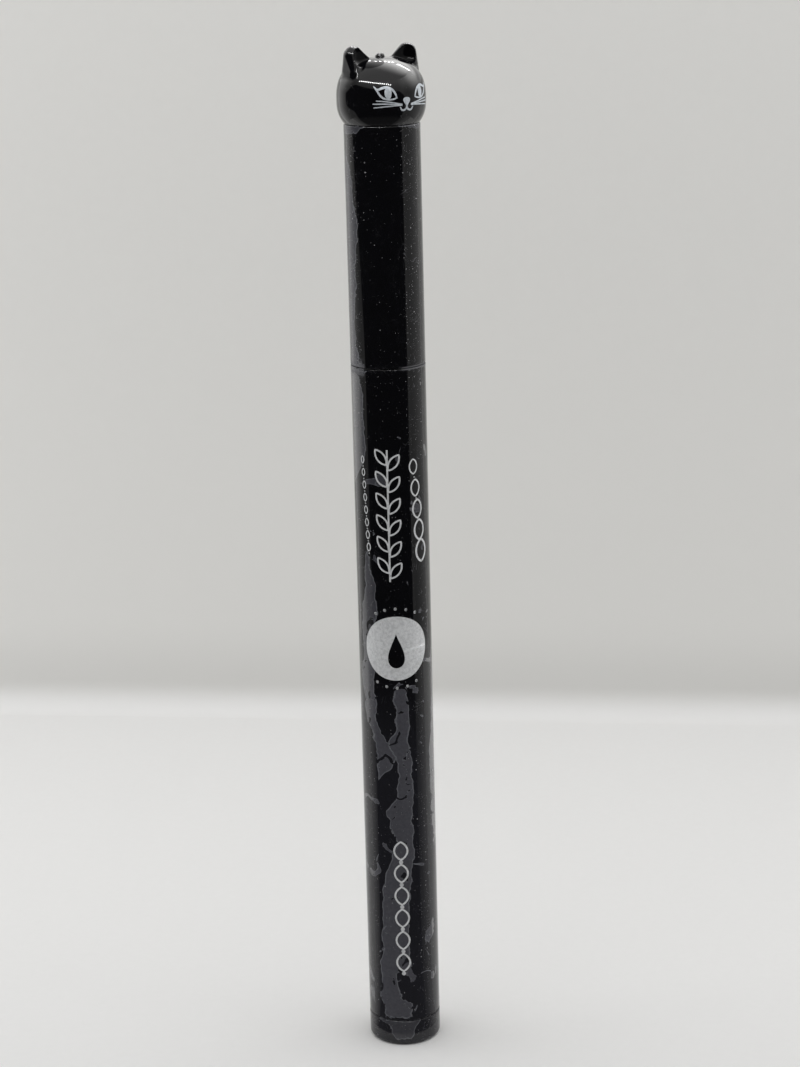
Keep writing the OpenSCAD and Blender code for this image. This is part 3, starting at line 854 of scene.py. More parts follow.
def makeGate(bm, s):
    # the torn stub left where the moulding was fed, sunk a little in the crown
    chance = random.Random(5)
    wide, tall = s["gate"]
    count, rings = 32, []
    for share, rise in s["gateRings"]:
        ring = []
        for k in range(count):
            a = 2 * math.pi * k / count
            rag = 1 + 0.07 * math.sin(3 * a + 1) + chance.uniform(-0.03, 0.03)
            up = tall * (rise + (0.16 * math.cos(4 * a - 1.2) + chance.uniform(-0.05, 0.05)) * (rise > 0.3))
            r = wide * share * rag
            ring.append(bm.verts.new((r * math.cos(a), r * math.sin(a), s["crown"] + up)))
        rings.append(ring)
    middle = bm.verts.new((0, 0, s["crown"] + tall * 0.8))
    base = bm.verts.new((0, 0, s["crown"] - tall * 0.25))
    for low, high in zip(rings, rings[1:]):
        for i in range(count):
            j = (i + 1) % count
            bm.faces.new((low[i], low[j], high[j], high[i]))
    for i in range(count):
        j = (i + 1) % count
        bm.faces.new((rings[-1][i], rings[-1][j], middle))
        bm.faces.new((rings[0][j], rings[0][i], base))


makeHead(headForm)


def curved(points, step=0.12):
    # a smooth line through given points, each (x, y) or (x, y, width)
    p = np.array(points, float)
    ends = [2 * p[0] - p[1], *p, 2 * p[-1] - p[-2]]
    line = []
    for a, b, c, d in zip(ends, ends[1:], ends[2:], ends[3:]):
        count = max(1, math.ceil(np.linalg.norm((c - b)[:2]) / step))
        for k in range(count):
            t = k / count
            bend, twist = 2 * a - 5 * b + 4 * c - d, 3 * b - a - 3 * c + d
            line.append(0.5 * (2 * b + (c - a) * t + bend * t * t + twist * t ** 3))
    return line + [ends[-2]]


class InkSheet:
    # flat printed shapes, gathered as points and faces, then wrapped on to a surface as a thin film
    def __init__(self):
        self.points, self.faces = [], []

    def rows(self, rows):
        start = len(self.points)
        width = len(rows[0])
        for row in rows:
            self.points += [tuple(p) for p in row]
        for i in range(len(rows) - 1):
            for j in range(width - 1):
                a = start + i * width + j
                self.faces.append((a, a + 1, a + width + 1, a + width))

    def stroke(self, points, mirror=False, step=0.12):
        line = curved(points, step)
        flip = -1 if mirror else 1
        xy, wide = [p[:2] * (flip, 1) for p in line], [p[2] / 2 for p in line]
        for end in (0, -1):
            out = unit(xy[end] - xy[1 if end == 0 else -2])
            tip, half = xy[end], wide[end]
            caps = [(tip + out * half * s, half * math.sqrt(1 - s * s)) for s in (0.4, 0.75, 0.93, 1.0)]
            for spot, w in caps:
                if end == 0:
                    xy.insert(0, spot)
                    wide.insert(0, w)
                else:
                    xy.append(spot)
                    wide.append(w)
        xy = np.array(xy)
        ahead = unit(np.gradient(xy, axis=0))
        side = np.column_stack([-ahead[:, 1], ahead[:, 0]])
        self.rows([[p - s * w, p, p + s * w] for p, s, w in zip(xy, side, wide)])

    def lens(self, outline, mirror=False, step=0.15):
        # a filled shape given as rows: height, left edge, right edge
        line = curved(outline, step)
        flip = -1 if mirror else 1
        self.rows([[(flip * (l + (r - l) * k / 6), h) for k in range(7)] for h, l, r in line])

    def ring(self, inner, outer, bands):
        # the sheet between two closed outlines with the same number of points
        inner, outer = np.array(inner), np.array(outer)
        loops = [inner + (outer - inner) * k / bands for k in range(bands + 1)]
        self.rows([[loop[i % len(loop)] for loop in loops] for i in range(len(inner) + 1)])

    def wrapped(self, name, onSkin, proud, sunk):
        bm = bmesh.new()
        top = [bm.verts.new(onSkin(x, y, proud)) for x, y in self.points]
        low = [bm.verts.new(onSkin(x, y, -sunk)) for x, y in self.points]
        edges = {}
        for face in self.faces:
            bm.faces.new([top[i] for i in face])
            bm.faces.new([low[i] for i in reversed(face)])
            for a, b in zip(face, face[1:] + face[:1]):
                edges[(a, b)] = edges.get((a, b), 0) + 1
        for a, b in edges:
            if (b, a) not in edges:
                bm.faces.new((top[b], top[a], low[a], low[b]))
        bmesh.ops.remove_doubles(bm, verts=bm.verts, dist=1e-4)
        bmesh.ops.recalc_face_normals(bm, faces=bm.faces)
        return meshFrom(bm, name)


# Face of the cat: sideways from its middle line, height above the cap's tube, width of the line.
facePrint = {
    "upperLid": [(-1.44, 3.72, 0.20), (-1.62, 4.28, 0.25), (-1.98, 4.80, 0.30), (-2.52, 5.08, 0.34),
                 (-3.06, 5.03, 0.30), (-3.50, 4.84, 0.26), (-3.72, 4.86, 0.22), (-3.94, 5.22, 0.10)],
    "lowerLid": [(-1.44, 3.72, 0.20), (-1.80, 3.58, 0.20), (-2.42, 3.51, 0.22), (-3.00, 3.67, 0.24),
                 (-3.42, 4.06, 0.24), (-3.66, 4.60, 0.22), (-3.80, 4.92, 0.18)],
    "pupil": [(3.55, -2.58, -2.38), (3.80, -2.80, -2.20), (4.30, -2.92, -2.08), (4.75, -2.84, -2.10),
              (5.10, -2.62, -2.30)],
    "nose": [(2.60, -0.13, 0.13), (2.78, -0.18, 0.18), (2.98, -0.34, 0.34), (3.20, -0.48, 0.48),
             (3.42, -0.54, 0.54), (3.60, -0.46, 0.46), (3.73, -0.22, 0.22)],
    "mouth": [(0.0, 2.72, 0.20), (-0.03, 2.46, 0.22), (-0.16, 2.22, 0.24), (-0.44, 2.08, 0.24),
              (-0.76, 2.14, 0.22), (-0.95, 2.46, 0.17)],
    "whiskers": [
        [(-0.72, 2.86, 0.13), (-1.75, 3.06, 0.15), (-2.85, 3.28, 0.16), (-3.82, 3.39, 0.15)],
        [(-0.72, 2.78, 0.13), (-1.75, 2.88, 0.16), (-2.90, 2.97, 0.17), (-4.14, 2.99, 0.16)],
        [(-0.72, 2.70, 0.13), (-1.75, 2.70, 0.15), (-2.90, 2.62, 0.16), (-4.04, 2.51, 0.15)],
    ],
    "proud": 0.005, "sunk": 0.02,
}


def onHead(x, h, lift):
    z = headForm["capTop"] + h
    low, r, high = (float(headRadius(np.float64(z + dz))) for dz in (-0.01, 0, 0.01))
    y = -math.sqrt(max(r * r - x * x, 0))
    steep = (high - low) / 0.02
    normal = Vector((x / r, y / r, -steep)).normalized()
    spot = Vector((x, y, z)) + normal * (lift - headForm["skin"])
    return Matrix.Rotation(math.radians(headForm["turn"]), 3, "Z") @ spot


def makeFace(s):
    sheet = InkSheet()
    for mirror in (False, True):
        for part in (s["upperLid"], s["lowerLid"], s["mouth"], *s["whiskers"]):
            sheet.stroke(part, mirror)
        sheet.lens(s["pupil"], mirror)
    sheet.lens(s["nose"])
    mesh = sheet.wrapped("facePrint", onHead, s["proud"], s["sunk"])
    addPiece("facePrint", mesh, finishes["faceInk"], "cap")


makeFace(facePrint)

# The barrel's ornament: a round medal with a drop in it, set between rows of leaves, rings and dots.
medalPrint = {"centre": (0.1, 60.55), "size": (4.7, 4.65), "drop": (1.35, 2.5), "points": 96,
              "proud": 0.008, "sunk": 0.03}


def onBarrel(x, z, lift, radius=tubeRadius):
    a = x / radius
    return Vector(((radius + lift) * math.sin(a), -(radius + lift) * math.cos(a), z))


def makeMedal(s):
    sheet = InkSheet()
    turns = [2 * math.pi * k / s["points"] for k in range(s["points"])]
    cx, cz = s["centre"]

    def oval(wide, tall):
        return [(cx + wide * math.cos(a), cz + tall * math.sin(a)) for a in turns]

    def drop(wide, tall):
        # round below, drawn to a point above
        return [(cx + wide * math.cos(a) * (1 - math.sin(a)) ** 0.8 * 0.72, cz - 0.35 + tall * math.sin(a))
                for a in turns]

    sheet.ring(drop(*s["drop"]), oval(*s["size"]), 11)
    mesh = sheet.wrapped("medalPrint", onBarrel, s["proud"], s["sunk"])
    addPiece("medalPrint", mesh, finishes["barrelInk"], "pen")


makeMedal(medalPrint)

# how thick the leaves, rings, dots and beads are, and how far they are sunk from their middle
filmThick, filmSunk = 0.038, 0.011


class GrowTree(NodeBench):
    # a geometry tree with named sizes
    family = "GeometryNode"

    def __init__(self, name, sizes):
        tree = bpy.data.node_groups.new(name, "GeometryNodeTree")
        super().__init__(tree)
        self.given = {}
        for key, value in sizes.items():
            kind = "NodeSocketInt" if isinstance(value, int) else "NodeSocketFloat"
            socket = tree.interface.new_socket(name=key, in_out="INPUT", socket_type=kind)
            self.given[socket.identifier] = value
        tree.interface.new_socket(name="Geometry", in_out="OUTPUT", socket_type="NodeSocketGeometry")
        self.start = tree.nodes.new("NodeGroupInput")
        self.end = tree.nodes.new("NodeGroupOutput")

    def size(self, key):
        return Flow(self, self.start.outputs[key])

    def finish(self, geometry, material, scale=mm):
        moved = self.take("Transform", {"Geometry": geometry, "Scale": (scale, scale, scale)})
        real = self.take("RealizeInstances", {0: moved})
        self.wire(self.end, {0: self.take("SetMaterial", {"Geometry": real, "Material": material})})

    def grow(self):
        holder = placed(self.tree.name, bpy.data.meshes.new(self.tree.name))
        modifier = holder.modifiers.new("grow", "NODES")
        modifier.node_group = self.tree
        for identifier, value in self.given.items():
            modifier[identifier] = value
        return evaluated(holder)

    def position(self):
        return self.take("InputPosition")

    def move(self, geometry, spot):
        # every point to its own new place
        return self.take("SetPosition", {"Geometry": geometry, "Position": spot})

    def shift(self, geometry, by):
        return self.take("Transform", {"Geometry": geometry, "Translation": by})

    def circle(self, count, radius):
        return self.take("CurvePrimitiveCircle", {"Resolution": count, "Radius": radius})

    def copies(self, points, geometry, **more):
        return self.take("InstanceOnPoints", {"Points": points, "Instance": geometry, **more})

    def gathered(self, *parts):
        whole = self.put("JoinGeometry")
        for part in parts:
            self.join(part, whole.inputs[0])
        return Flow(self, whole.outputs[0])

    def wrap(self, geometry, radius):
        # x runs round the barrel, y up it and z off it
        x, y, z = self.split(self.position())
        angle = x / radius
        out = z + radius
        spot = self.xyz(out * self.calc("SINE", angle), out * self.calc("COSINE", angle) * -1.0, y)
        return self.move(geometry, spot)

    def film(self, curve):
        # a closed flat curve filled and given the film's thickness
        fill = self.take("FillCurve", {"Curve": curve}, mode="TRIANGLES")
        raised = self.take("ExtrudeMesh", {"Mesh": fill, "Offset Scale": filmThick}, mode="FACES")
        both = self.gathered(raised, self.take("FlipFaces", {"Mesh": fill}))
        return self.take("MergeByDistance", {"Geometry": both, "Distance": 0.001})

    def band(self, curve, width):
        # a line of even width and of the film's thickness along a flat curve
        level = self.take("SetCurveNormal", {"Curve": curve}, mode="Z_UP")
        strip = self.take("CurvePrimitiveQuadrilateral", {"Width": width, "Height": filmThick})
        return self.take("CurveToMesh", {"Curve": level, "Profile Curve": strip, "Fill Caps": True})

    def oval(self, wide, tall, sharp, count=24):
        # a closed outline: an ellipse, drawn to points at top and bottom as sharp grows
        ring = self.circle(count, 1.0)
        x, y, _ = self.split(self.position())
        return self.move(ring, self.xyz(x * abs(x) ** sharp * wide, y * tall))


sprigPrint = {
    "Pairs": 6, "Pitch": 3.05, "Leaf Length": 1.28, "Leaf Width": 0.58, "Line Width": 0.24, "Lean": 0.62,
    "Foot": 70.2, "Off Middle": -0.5, "Tube Radius": tubeRadius, "Stem Length": 18.6,
}


def makeSprig(s):
    # pairs of open leaves on a stem, up the front of the barrel
    grow = GrowTree("sprigPrint", s)
    leaf = grow.oval(grow.size("Leaf Width"), grow.size("Leaf Length"), 0.75)
    leaf = grow.shift(leaf, grow.xyz(0.0, grow.size("Leaf Length") + 0.22))
    outline = grow.band(leaf, grow.size("Line Width"))
    parts = []
    for side in (-1.0, 1.0):
        spots = grow.take("MeshLine", {
            "Count": grow.size("Pairs"), "Start Location": (0.0, 0.35 if side > 0 else 1.1, 0.0),
            "Offset": grow.xyz(0.0, grow.size("Pitch"))}, mode="OFFSET")
        parts.append(grow.copies(spots, outline, Rotation=grow.xyz(0.0, 0.0, grow.size("Lean") * -side)))
    stem = grow.take("CurvePrimitiveLine", {"End": grow.xyz(0.0, grow.size("Stem Length"))})
    parts.append(grow.band(stem, grow.size("Line Width")))
    real = grow.take("RealizeInstances", {0: grow.gathered(*parts)})
    stood = grow.shift(real, grow.xyz(grow.size("Off Middle"), grow.size("Foot"), -filmSunk))
    grow.finish(grow.wrap(stood, grow.size("Tube Radius")), finishes["barrelInk"])
    addPiece("sprigPrint", grow.grow(), finishes["barrelInk"], "pen")


makeSprig(sprigPrint)

# each row of rings and dots: what it is, where it starts, how it steps, and how it grows as it goes
rowPrints = {
    "ringRow": {"Count": 5, "Start": 86.2, "Pitch": -3.0, "Across": 3.25, "Drift": 0.28, "Wide": 0.62,
                "Tall": 1.02, "Sharp": 0.35, "Line Width": 0.2, "Growth": 0.13, "Dots": 0.14,
                "Tube Radius": tubeRadius},
    "dotRow": {"Count": 8, "Start": 87.2, "Pitch": -1.75, "Across": -4.3, "Drift": 0.1, "Wide": 0.26,
               "Tall": 0.5, "Sharp": 0.5, "Line Width": 0.13, "Growth": 0.02, "Dots": 0.11,
               "Tube Radius": tubeRadius},
    "lowRow": {"Count": 6, "Start": 30.4, "Pitch": -3.45, "Across": 0.0, "Drift": 0.0, "Wide": 0.95,
               "Tall": 1.35, "Sharp": 0.6, "Line Width": 0.27, "Growth": 0.0, "Dots": 0.3,
               "Tube Radius": tubeRadius},
}


def makeRow(name, s):
    # open pointed ovals one below the other, with a dot between each two
    grow = GrowTree(name, s)
    spots = grow.take("MeshLine", {
        "Count": grow.size("Count"), "Start Location": grow.xyz(grow.size("Across"), grow.size("Start")),
        "Offset": grow.xyz(grow.size("Drift"), grow.size("Pitch"))}, mode="OFFSET")
    index = grow.take("InputIndex")
    bigger = index * grow.size("Growth") + 1.0
    oval = grow.oval(grow.size("Wide"), grow.size("Tall"), grow.size("Sharp"))
    outline = grow.band(oval, grow.size("Line Width"))
    ovals = grow.copies(spots, outline, Scale=grow.xyz(bigger, bigger, 1.0))
    disc = grow.film(grow.circle(14, grow.size("Dots")))
    half = grow.xyz(grow.size("Drift") * 0.5, grow.size("Pitch") * 0.5, -filmThick / 2)
    dots = grow.copies(grow.shift(spots, half), disc)
    real = grow.take("RealizeInstances", {0: grow.gathered(ovals, dots)})
    sunk = grow.shift(real, (0.0, 0.0, -filmSunk))
    grow.finish(grow.wrap(sunk, grow.size("Tube Radius")), finishes["barrelInk"])
    addPiece(name, grow.grow(), finishes["barrelInk"], "pen")


for rowName, rowSizes in rowPrints.items():
    makeRow(rowName, rowSizes)

beadPrint = {"Count": 5, "Arc Radius": 5.75, "Spread": 0.26, "Bead Radius": 0.21, "Middle": 60.55,
             "Across": 0.1, "Tube Radius": tubeRadius}


def makeBeads(s):
    # small beads in an arc over the medal and under it
    grow = GrowTree("beadPrint", s)
    index = grow.take("InputIndex")
    row = grow.take("MeshLine", {"Count": grow.size("Count")})
    centred = index - (grow.size("Count") - 1.0) / 2.0
    angle = centred * grow.size("Spread")
    disc = grow.film(grow.oval(grow.size("Bead Radius"), grow.size("Bead Radius"), 0.0, 16))
    reach, middle = grow.size("Arc Radius"), grow.size("Middle")
    arcs = []
    for side in (-1.0, 1.0):
        spot = grow.xyz(grow.calc("SINE", angle) * reach + grow.size("Across"),
                        grow.calc("COSINE", angle) * side * reach + middle, -filmThick / 2 - filmSunk)
        arcs.append(grow.copies(grow.move(row, spot), disc))
    real = grow.take("RealizeInstances", {0: grow.gathered(*arcs)})
    grow.finish(grow.wrap(real, grow.size("Tube Radius")), finishes["barrelInk"])
    addPiece("beadPrint", grow.grow(), finishes["barrelInk"], "pen")


makeBeads(beadPrint)

nibForm = {
    "Strands": 150, "Foot": 107.7, "Nozzle Tip": 119.7, "Point": 126.7, "Nib Radius": 0.975,
    "Point Radius": 0.08, "Power": 1.3, "Strand Radius": 0.078,
}
goldenAngle = 2.399963
coreForm = {"radius": 0.9, "pointShare": 0.082, "long": 6.965, "top": 6.97, "steps": 24}


def makeNib(s, core):
    # a bundle of threads, each following the nib's form in to the point
    grow = GrowTree("nibStrands", s)
    index = grow.take("InputIndex")
    row = grow.take("MeshLine", {"Count": grow.size("Strands")})
    share = grow.calc("SQRT", (index + 0.5) / grow.size("Strands"))
    turn = index * goldenAngle
    out = share * (grow.size("Nib Radius") - grow.size("Strand Radius"))
    seeds = grow.move(row, grow.xyz(out * grow.calc("COSINE", turn), out * grow.calc("SINE", turn)))
    line = grow.take("CurvePrimitiveLine", {"End": (0.0, 0.0, 1.0)})
    thread = grow.take("ResampleCurve", {"Curve": line, "Count": 15})
    threads = grow.take("RealizeInstances", {0: grow.copies(seeds, thread)})
    # close rings at the point, wide ones in the holder
    x, y, z = grow.split(grow.position())
    inside = grow.size("Nozzle Tip") - grow.size("Foot")
    reach = grow.size("Point") - grow.size("Nozzle Tip")
    t = grow.most(z * 1.18 - 0.18, 0.0)
    eased = grow.calc("SINE", t * (math.pi / 2))
    low = grow.least(z * 6.0, 1.0) * inside
    height = low + eased * reach + grow.size("Foot")
    lean = grow.calc("COSINE", eased * (math.pi / 2))
    slim = grow.most(lean, 0.0) ** grow.size("Power")
    point = grow.size("Point Radius") / grow.size("Nib Radius")
    taper = point + slim * (1.0 - point)
    kept = grow.put("CaptureAttribute", {"Geometry": threads})
    kept.capture_items.new("FLOAT", "taper")
    grow.wire(kept, {"taper": taper})
    formed = grow.move(kept.outputs[0], grow.xyz(x * taper, y * taper, height))
    radius = Flow(grow, kept.outputs["taper"]) * grow.size("Strand Radius")
    sized = grow.take("SetCurveRadius", {"Curve": formed, "Radius": radius})
    skin = grow.put("CurveToMesh", {"Curve": sized, "Profile Curve": grow.circle(5, 1.0),
                                    "Fill Caps": True})
    if "Scale" in skin.inputs:
        grow.wire(skin, {"Scale": radius})
    grow.finish(skin.outputs[0], finishes["nib"])
    strands = grow.grow()
    # a soft core fills the gaps between the threads
    wide, foot, tip = core["radius"], s["Foot"], s["Nozzle Tip"]
    outline = [(0, foot), (wide, foot), (wide, tip)]
    for k in range(1, core["steps"]):
        t = k / core["steps"]
        slim = core["pointShare"] + (1 - core["pointShare"]) * math.cos(math.pi / 2 * t) ** s["Power"]
        outline.append((wide * slim, tip + core["long"] * t))
    outline.append((0, tip + core["top"]))
    bm = turnedBody(outline, False, 48)
    bmesh.ops.scale(bm, vec=(mm, mm, mm), verts=bm.verts)
    bm.from_mesh(strands)
    addPiece("nibBundle", meshFrom(bm, "nibBundle", 1), finishes["nib"], "pen", ["nib"])


makeNib(nibForm, coreForm)

springForm = {"Turns": 5.0, "Coil Radius": 2.125, "Wire Radius": 0.172, "Foot": 132.11, "Rise": 5.78,
              "Flat Ends": 0.06}


def makeSpring(s):
    # round wire on a helix whose end turns lie flatter
    grow = GrowTree("sealSpring", s)
    coilRadius = grow.size("Coil Radius")
    helix = grow.take("CurveSpiral", {"Resolution": 40, "Rotations": grow.size("Turns"), "Height": 1.0,
                                      "Start Radius": coilRadius, "End Radius": coilRadius})
    x, y, z = grow.split(grow.position())
    ripple = grow.calc("SINE", z * (2 * math.pi)) * grow.size("Flat Ends")
    eased = (z - ripple) * grow.size("Rise")
    stood = grow.move(helix, grow.xyz(x, y, eased + grow.size("Foot")))
    wire = grow.circle(16, grow.size("Wire Radius"))
    coil = grow.take("CurveToMesh", {"Curve": stood, "Profile Curve": wire, "Fill Caps": True})
    grow.finish(coil, finishes["spring"])
    # its two ends are given, but the coil is only set in place and rides on no body
    ends = ("liner", "spring", (0, 0, 0.1319), (0, 0, 0.1381))
    addPiece("sealSpring", grow.grow(), finishes["spring"], ends, ["seal_spring"])


makeSpring(springForm)

# the pieces that keep their own shape get their finish
keptNodes = {"inner_cap": "liner", "collector": "feed", "tank_partition": "feed", "nib_sleeve": "feed",
             "feed_wick": "wick", "mixing_ball": "ball"}
for nodeName, finishName in keptNodes.items():
    node = cadNodes[nodeName]
    node.data.materials.clear()
    node.data.materials.append(finishes[finishName])
print("kept nodes painted:", len(keptNodes))

# floor, backdrop and lamps; places and sizes in metres, brightness as radiance
studio = {
    "floorReach": 12.0, "floorColour": (0.845, 0.842, 0.835), "backdropAt": 0.138,
    "backdropSize": (0.9, 0.5), "backdropSlant": 0.118, "cove": 0.0055,
    "backdropColour": (0.745, 0.74, 0.719), "skyColour": (0.60, 0.595, 0.58), "fillLight": 0.34,
    "tentReach": 0.19, "tentHigh": 0.30, "tentBack": 0.1365,
    "lamps": [
        # name, middle, aimed at, width, height, radiance
        ("leftWall", (-0.20, 0.05, 0.15), (0.0, 0.05, 0.15), 0.20, 0.30, 0.85),
        ("rightWall", (0.20, 0.018, 0.15), (0.0, 0.018, 0.15), 0.266, 0.30, 0.65),
        ("ceiling", (0.0, -0.02, 0.31), (0.0, -0.02, 0.0), 0.42, 0.33, 1.15),
    ],
    "ledAim": (0, 0, 0.139),
    "ledRows": [
        # the points a row of small lights runs through, how many, how wide, radiance
        ("frontLeds", [(-0.132, -0.057, 0.2355), (-0.046, -0.1355, 0.238), (0.069, -0.1393, 0.2173)], 17,
         0.0085, 60.0),
        ("backLeds", [(-0.0086, 0.1118, 0.2367), (0.0063, 0.1084, 0.2407), (0.0277, 0.1018, 0.2444)], 5,
         0.0045, 70.0),
        ("loneLed", [(-0.017, 0.124, 0.2199)], 1, 0.005, 60.0),
        ("cornerLeds", [(0.0472, 0.0889, 0.2496), (0.0698, 0.0793, 0.2457), (0.0942, 0.0756, 0.2294)], 8,
         0.008, 40.0),
    ],
}


def stageSheet(name, bm, finish):
    sheet = placed(name, meshFrom(bm, name, 1))
    sheet.data.materials.append(finish)
    return sheet


def makeLamp(name, middle, target, width, height, radiance, shape="RECTANGLE", hidden="glossy"):
    lamp = bpy.data.lights.new(name, "AREA")
    lamp.shape = shape
    lamp.size, lamp.size_y = width, height
    area = width * height * (1 if shape == "RECTANGLE" else math.pi / 4)
    lamp.energy = radiance * math.pi * area
    holder = placed(name, lamp)
    aim = (Vector(target) - Vector(middle)).normalized()
    side = aim.cross(Vector((0, 0, 1)))
    side = side.normalized() if side.length > 1e-3 else Vector((1, 0, 0))
    turn = Matrix((side, side.cross(aim), -aim)).transposed().to_4x4()
    holder.matrix_world = Matrix.Translation(middle) @ turn
    holder.visible_camera = False
    setattr(holder, "visible_" + hidden, False)


def tentShade(bench):
    # how bright the tent's lining is, from where it hangs; only the gloss sees it, so it lights nothing
    ease, mixed = bench.ease, bench.mixed
    x, y, z = bench.split(inMillimetres(bench))
    turn = bench.calc("ARCTAN2", x, y * -1.0) * (180 / math.pi)
    away = bench.calc("SQRT", x * x + y * y)

    # cloth above the open front
    corners = ease(turn, -70.0, -104.0, 0.0, 85.0) + ease(turn, 44.0, 62.0, 0.0, 25.0)
    sill = 190.0 - turn * 0.42 - corners
    over = z - sill
    front = ease(over, 0.0, 110.0, 0.5, 0.95) * ease(turn, -58.0, -84.0, 1.0, 0.6)
    # side walls, brighter above and towards the back
    nearFloor = ease(z, 0.0, 60.0, 0.8, 1.0)
    rightLow = ease(turn, 60.0, 130.0, 0.34, 0.62) * nearFloor
    rightHigh = ease(z, 165.0, 262.0, 1.6, 4.2) * ease(turn, 70.0, 108.0, 0.35, 1.0)
    right = mixed(ease(z, 146.0, 190.0), rightLow, rightHigh)
    leftLow = ease(turn, -130.0, -95.0, 1.05, 0.40) * nearFloor
    leftHigh = ease(z, 165.0, 240.0, 1.2, 2.0) * ease(turn, -120.0, -98.0, 1.0, 0.42)
    left = mixed(ease(z, 140.0, 168.0), leftLow, leftHigh)
    wall = mixed(ease(turn, 50.0, 74.0), front, right)
    wall = mixed(ease(turn, -84.0, -100.0), wall, left)
    back = mixed(ease(x, -60.0, 30.0), 1.4, ease(z, 190.0, 245.0, 1.1, 4.2))
    slanted = y + x * studio["backdropSlant"]
    wall = mixed(ease(slanted, 105.0, 143.0), wall, back)
    # a brighter window in the ceiling at the back right
    toWindow = bench.take("ShaderNodeVectorMath", {0: bench.xyz(x, y), 1: (100.0, 105.0, 0.0)},
                          outlet="Value", operation="DISTANCE")
    ceiling = ease(toWindow, 10.0, 165.0, 7.0, 0.9)
    shade = mixed(bench.calc("GREATER_THAN", z, 299.0), wall, ceiling)
    # the open front itself
    jamb = ease(z, 60.0, 125.0, -74.0, -102.0)
    opening = ease(turn - jamb, -1.5, 1.5) * ease(turn, 62.0, 59.0)
    opening = opening * ease(over, 3.0, -3.0)
    shade = mixed(opening, shade, 0.03)
    # floor before the opening, lighter near the pen
    floorDark = ease(away, 115.0, 188.0, 0.09, 0.03) + ease(away, 8.0, 70.0, 0.04, 0.0)
    onRight = bench.calc("GREATER_THAN", turn, 0.0)
    floorSide = mixed(onRight, ease(turn, -94.0, -74.0, 0.62, 0.30), ease(turn, 62.0, 94.0, 0.24, 0.55))
    inFront = ease(turn, -76.0, -73.0) * ease(turn, 62.0, 59.0)
    return mixed(bench.calc("LESS_THAN", z, 1.0), shade, mixed(inFront, floorSide, floorDark))


def clearFromBehind(bench, shader):
    # a stage sheet can be seen through from its back, so that the pen can be seen from there too
    facing = bench.take("NewGeometry", outlet="Backfacing")
    both = bench.take("MixShader", {0: facing, 1: shader.outputs[0], 2: bench.take("BsdfTransparent")})
    bench.wire(bench.end, {"Surface": both})


def makeFloor(s):
    floorFinish, bench, shader = newFinish("floorPaper")
    place = inMillimetres(bench)
    tooth = bench.noise(place, 0.8, 3.0, 0.6)
    bump = bench.take("Bump", {"Height": tooth, "Strength": 0.5, "Distance": 6e-5})
    bench.wire(shader, {"Base Color": bench.tint(tooth, shaded(s["floorColour"], 0.97), s["floorColour"]),
                        "Normal": bump, "Roughness": 0.9, "Specular IOR Level": 0.2})
    clearFromBehind(bench, shader)
    far = s["floorReach"]
    bm = bmesh.new()
    bm.faces.new([bm.verts.new((x, y, 0)) for x, y in ((-far, -far), (far, -far), (far, far), (-far, far))])
    stageSheet("floor", bm, floorFinish)


def makeBackdrop(s):
    backFinish, bench, shader = newFinish("backdropCloth")
    place = inMillimetres(bench)
    plain = s["backdropColour"]
    cloth = bench.tint(bench.noise(place, 0.5, 2.0, 0.5), shaded(plain, 0.98), plain)
    # painted light makes it a little lighter low down, painted shade makes it darker at its foot, and the
    # cove takes the floor's own colour
    up = bench.split(place)[2]
    cloth = bench.tint(bench.ease(up, 15.0, 105.0, 1.0, 0.0), cloth, shaded(plain, 1.03))
    cloth = bench.tint(bench.ease(up, 5.0, 20.0, 1.0, 0.0), cloth, shaded(plain, 0.945))
    low = bench.ease(up, 0.0, s["cove"] / mm, 1.0, 0.0)
    bench.wire(shader, {"Base Color": bench.tint(low, cloth, s["floorColour"]), "Roughness": 0.95,
                        "Specular IOR Level": 0.1})
    clearFromBehind(bench, shader)
    # it stands a little aslant, and curves down on to the floor in a small cove
    wide, tall, y, cove = s["backdropSize"][0] / 2, s["backdropSize"][1], s["backdropAt"], s["cove"]
    profile = [(y - cove + cove * math.sin(a), cove - cove * math.cos(a) + 0.0001)
               for a in np.radians(range(0, 91, 10))]
    profile += [(y, 1.1 * cove), (y, tall)]
    bm = bmesh.new()
    rows = [[bm.verts.new((x, back - s["backdropSlant"] * x, z)) for x in (-wide, wide)]
            for back, z in profile]
    for low, high in zip(rows, rows[1:]):
        bm.faces.new((low[0], low[1], high[1], high[0])).smooth = True
    stageSheet("backdrop", bm, backFinish)


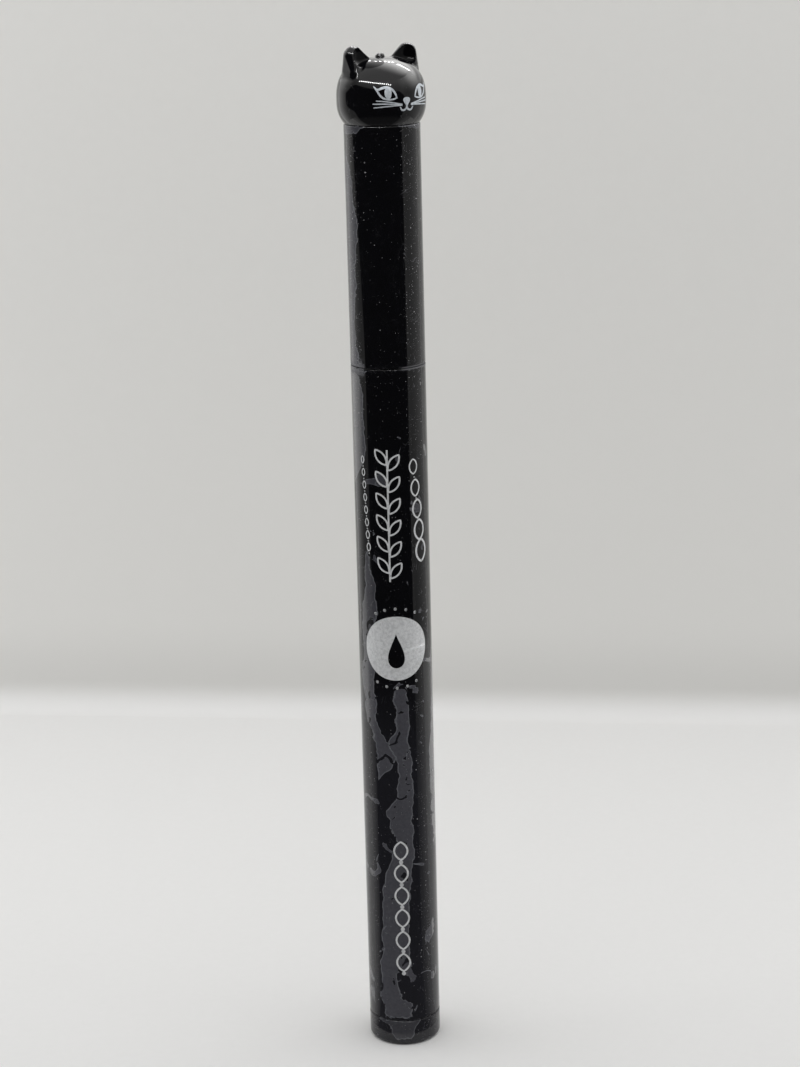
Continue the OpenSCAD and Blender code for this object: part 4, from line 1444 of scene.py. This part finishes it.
def makeTent(s):
    # the light tent round the pen, seen by the gloss alone: floor cloth, walls and ceiling in one sheet
    tentFinish, bench, _ = newFinish("tentLining")
    glow = bench.take("Emission", {"Color": (1.0, 0.995, 0.98, 1), "Strength": tentShade(bench)})
    bench.wire(bench.end, {"Surface": glow})
    tentFinish.cycles.emission_sampling = "NONE"
    bm = bmesh.new()
    columns, reach, high = [], s["tentReach"], s["tentHigh"]
    for turn in range(-180, 181, 3):
        a = math.radians(turn)
        out = Vector((math.sin(a), -math.cos(a), 0))
        ahead = max(out.y + s["backdropSlant"] * out.x, 1e-3)
        far = min(reach, s["tentBack"] / ahead)
        behind = ahead * reach > s["tentBack"]
        levels = (0.16, 0.2, 0.25, high) if behind else (0, 0.06, 0.12, 0.16, 0.2, 0.25, high)
        spots = [out * far + Vector((0, 0, level)) for level in levels]
        spots += [out * far * share + Vector((0, 0, high)) for share in (0.75, 0.5, 0.25, 0.02)]
        if abs(turn) <= 96:
            floor = [out * far * share + Vector((0, 0, 0.0002)) for share in (0.042, 0.2, 0.5, 0.75)]
            spots = floor + spots
        columns.append((len(spots), [bm.verts.new(p) for p in spots]))
    for (count, a), (other, b) in zip(columns, columns[1:]):
        both = min(count, other)
        a, b = a[-both:], b[-both:]
        for i in range(both - 1):
            bm.faces.new((a[i], a[i + 1], b[i + 1], b[i]))
    tent = stageSheet("tentLining", bm, tentFinish)
    for ray in ("camera", "diffuse", "transmission", "volume_scatter", "shadow"):
        setattr(tent, "visible_" + ray, False)


def makeLamps(s):
    for lamp in s["lamps"]:
        makeLamp(*lamp)
    for name, points, count, size, radiance in s["ledRows"]:
        line = curved([np.array(p) for p in points], 0.001) if count > 1 else points
        for k in range(count):
            spot = Vector(line[round(k * (len(line) - 1) / max(count - 1, 1))])
            makeLamp(name + str(k), spot, s["ledAim"], size, size, radiance, "DISK", "diffuse")


def makeSky(s):
    world = bpy.data.worlds.new("tent")
    scene.world = world
    world.use_nodes = True
    world.node_tree.nodes.clear()
    bench = NodeBench(world.node_tree)
    path = bench.put("LightPath").outputs
    seen = bench.most(path["Is Camera Ray"], path["Is Glossy Ray"], path["Is Transmission Ray"])
    colour = bench.tint(seen, shaded((1, 1, 1), s["fillLight"]), s["skyColour"])
    bench.put("OutputWorld", {"Surface": bench.take("Background", {"Color": colour, "Strength": 1.0})})


for makePart in (makeFloor, makeBackdrop, makeTent, makeLamps, makeSky):
    makePart(studio)
scene.view_settings.view_transform = "Standard"
print("studio set")
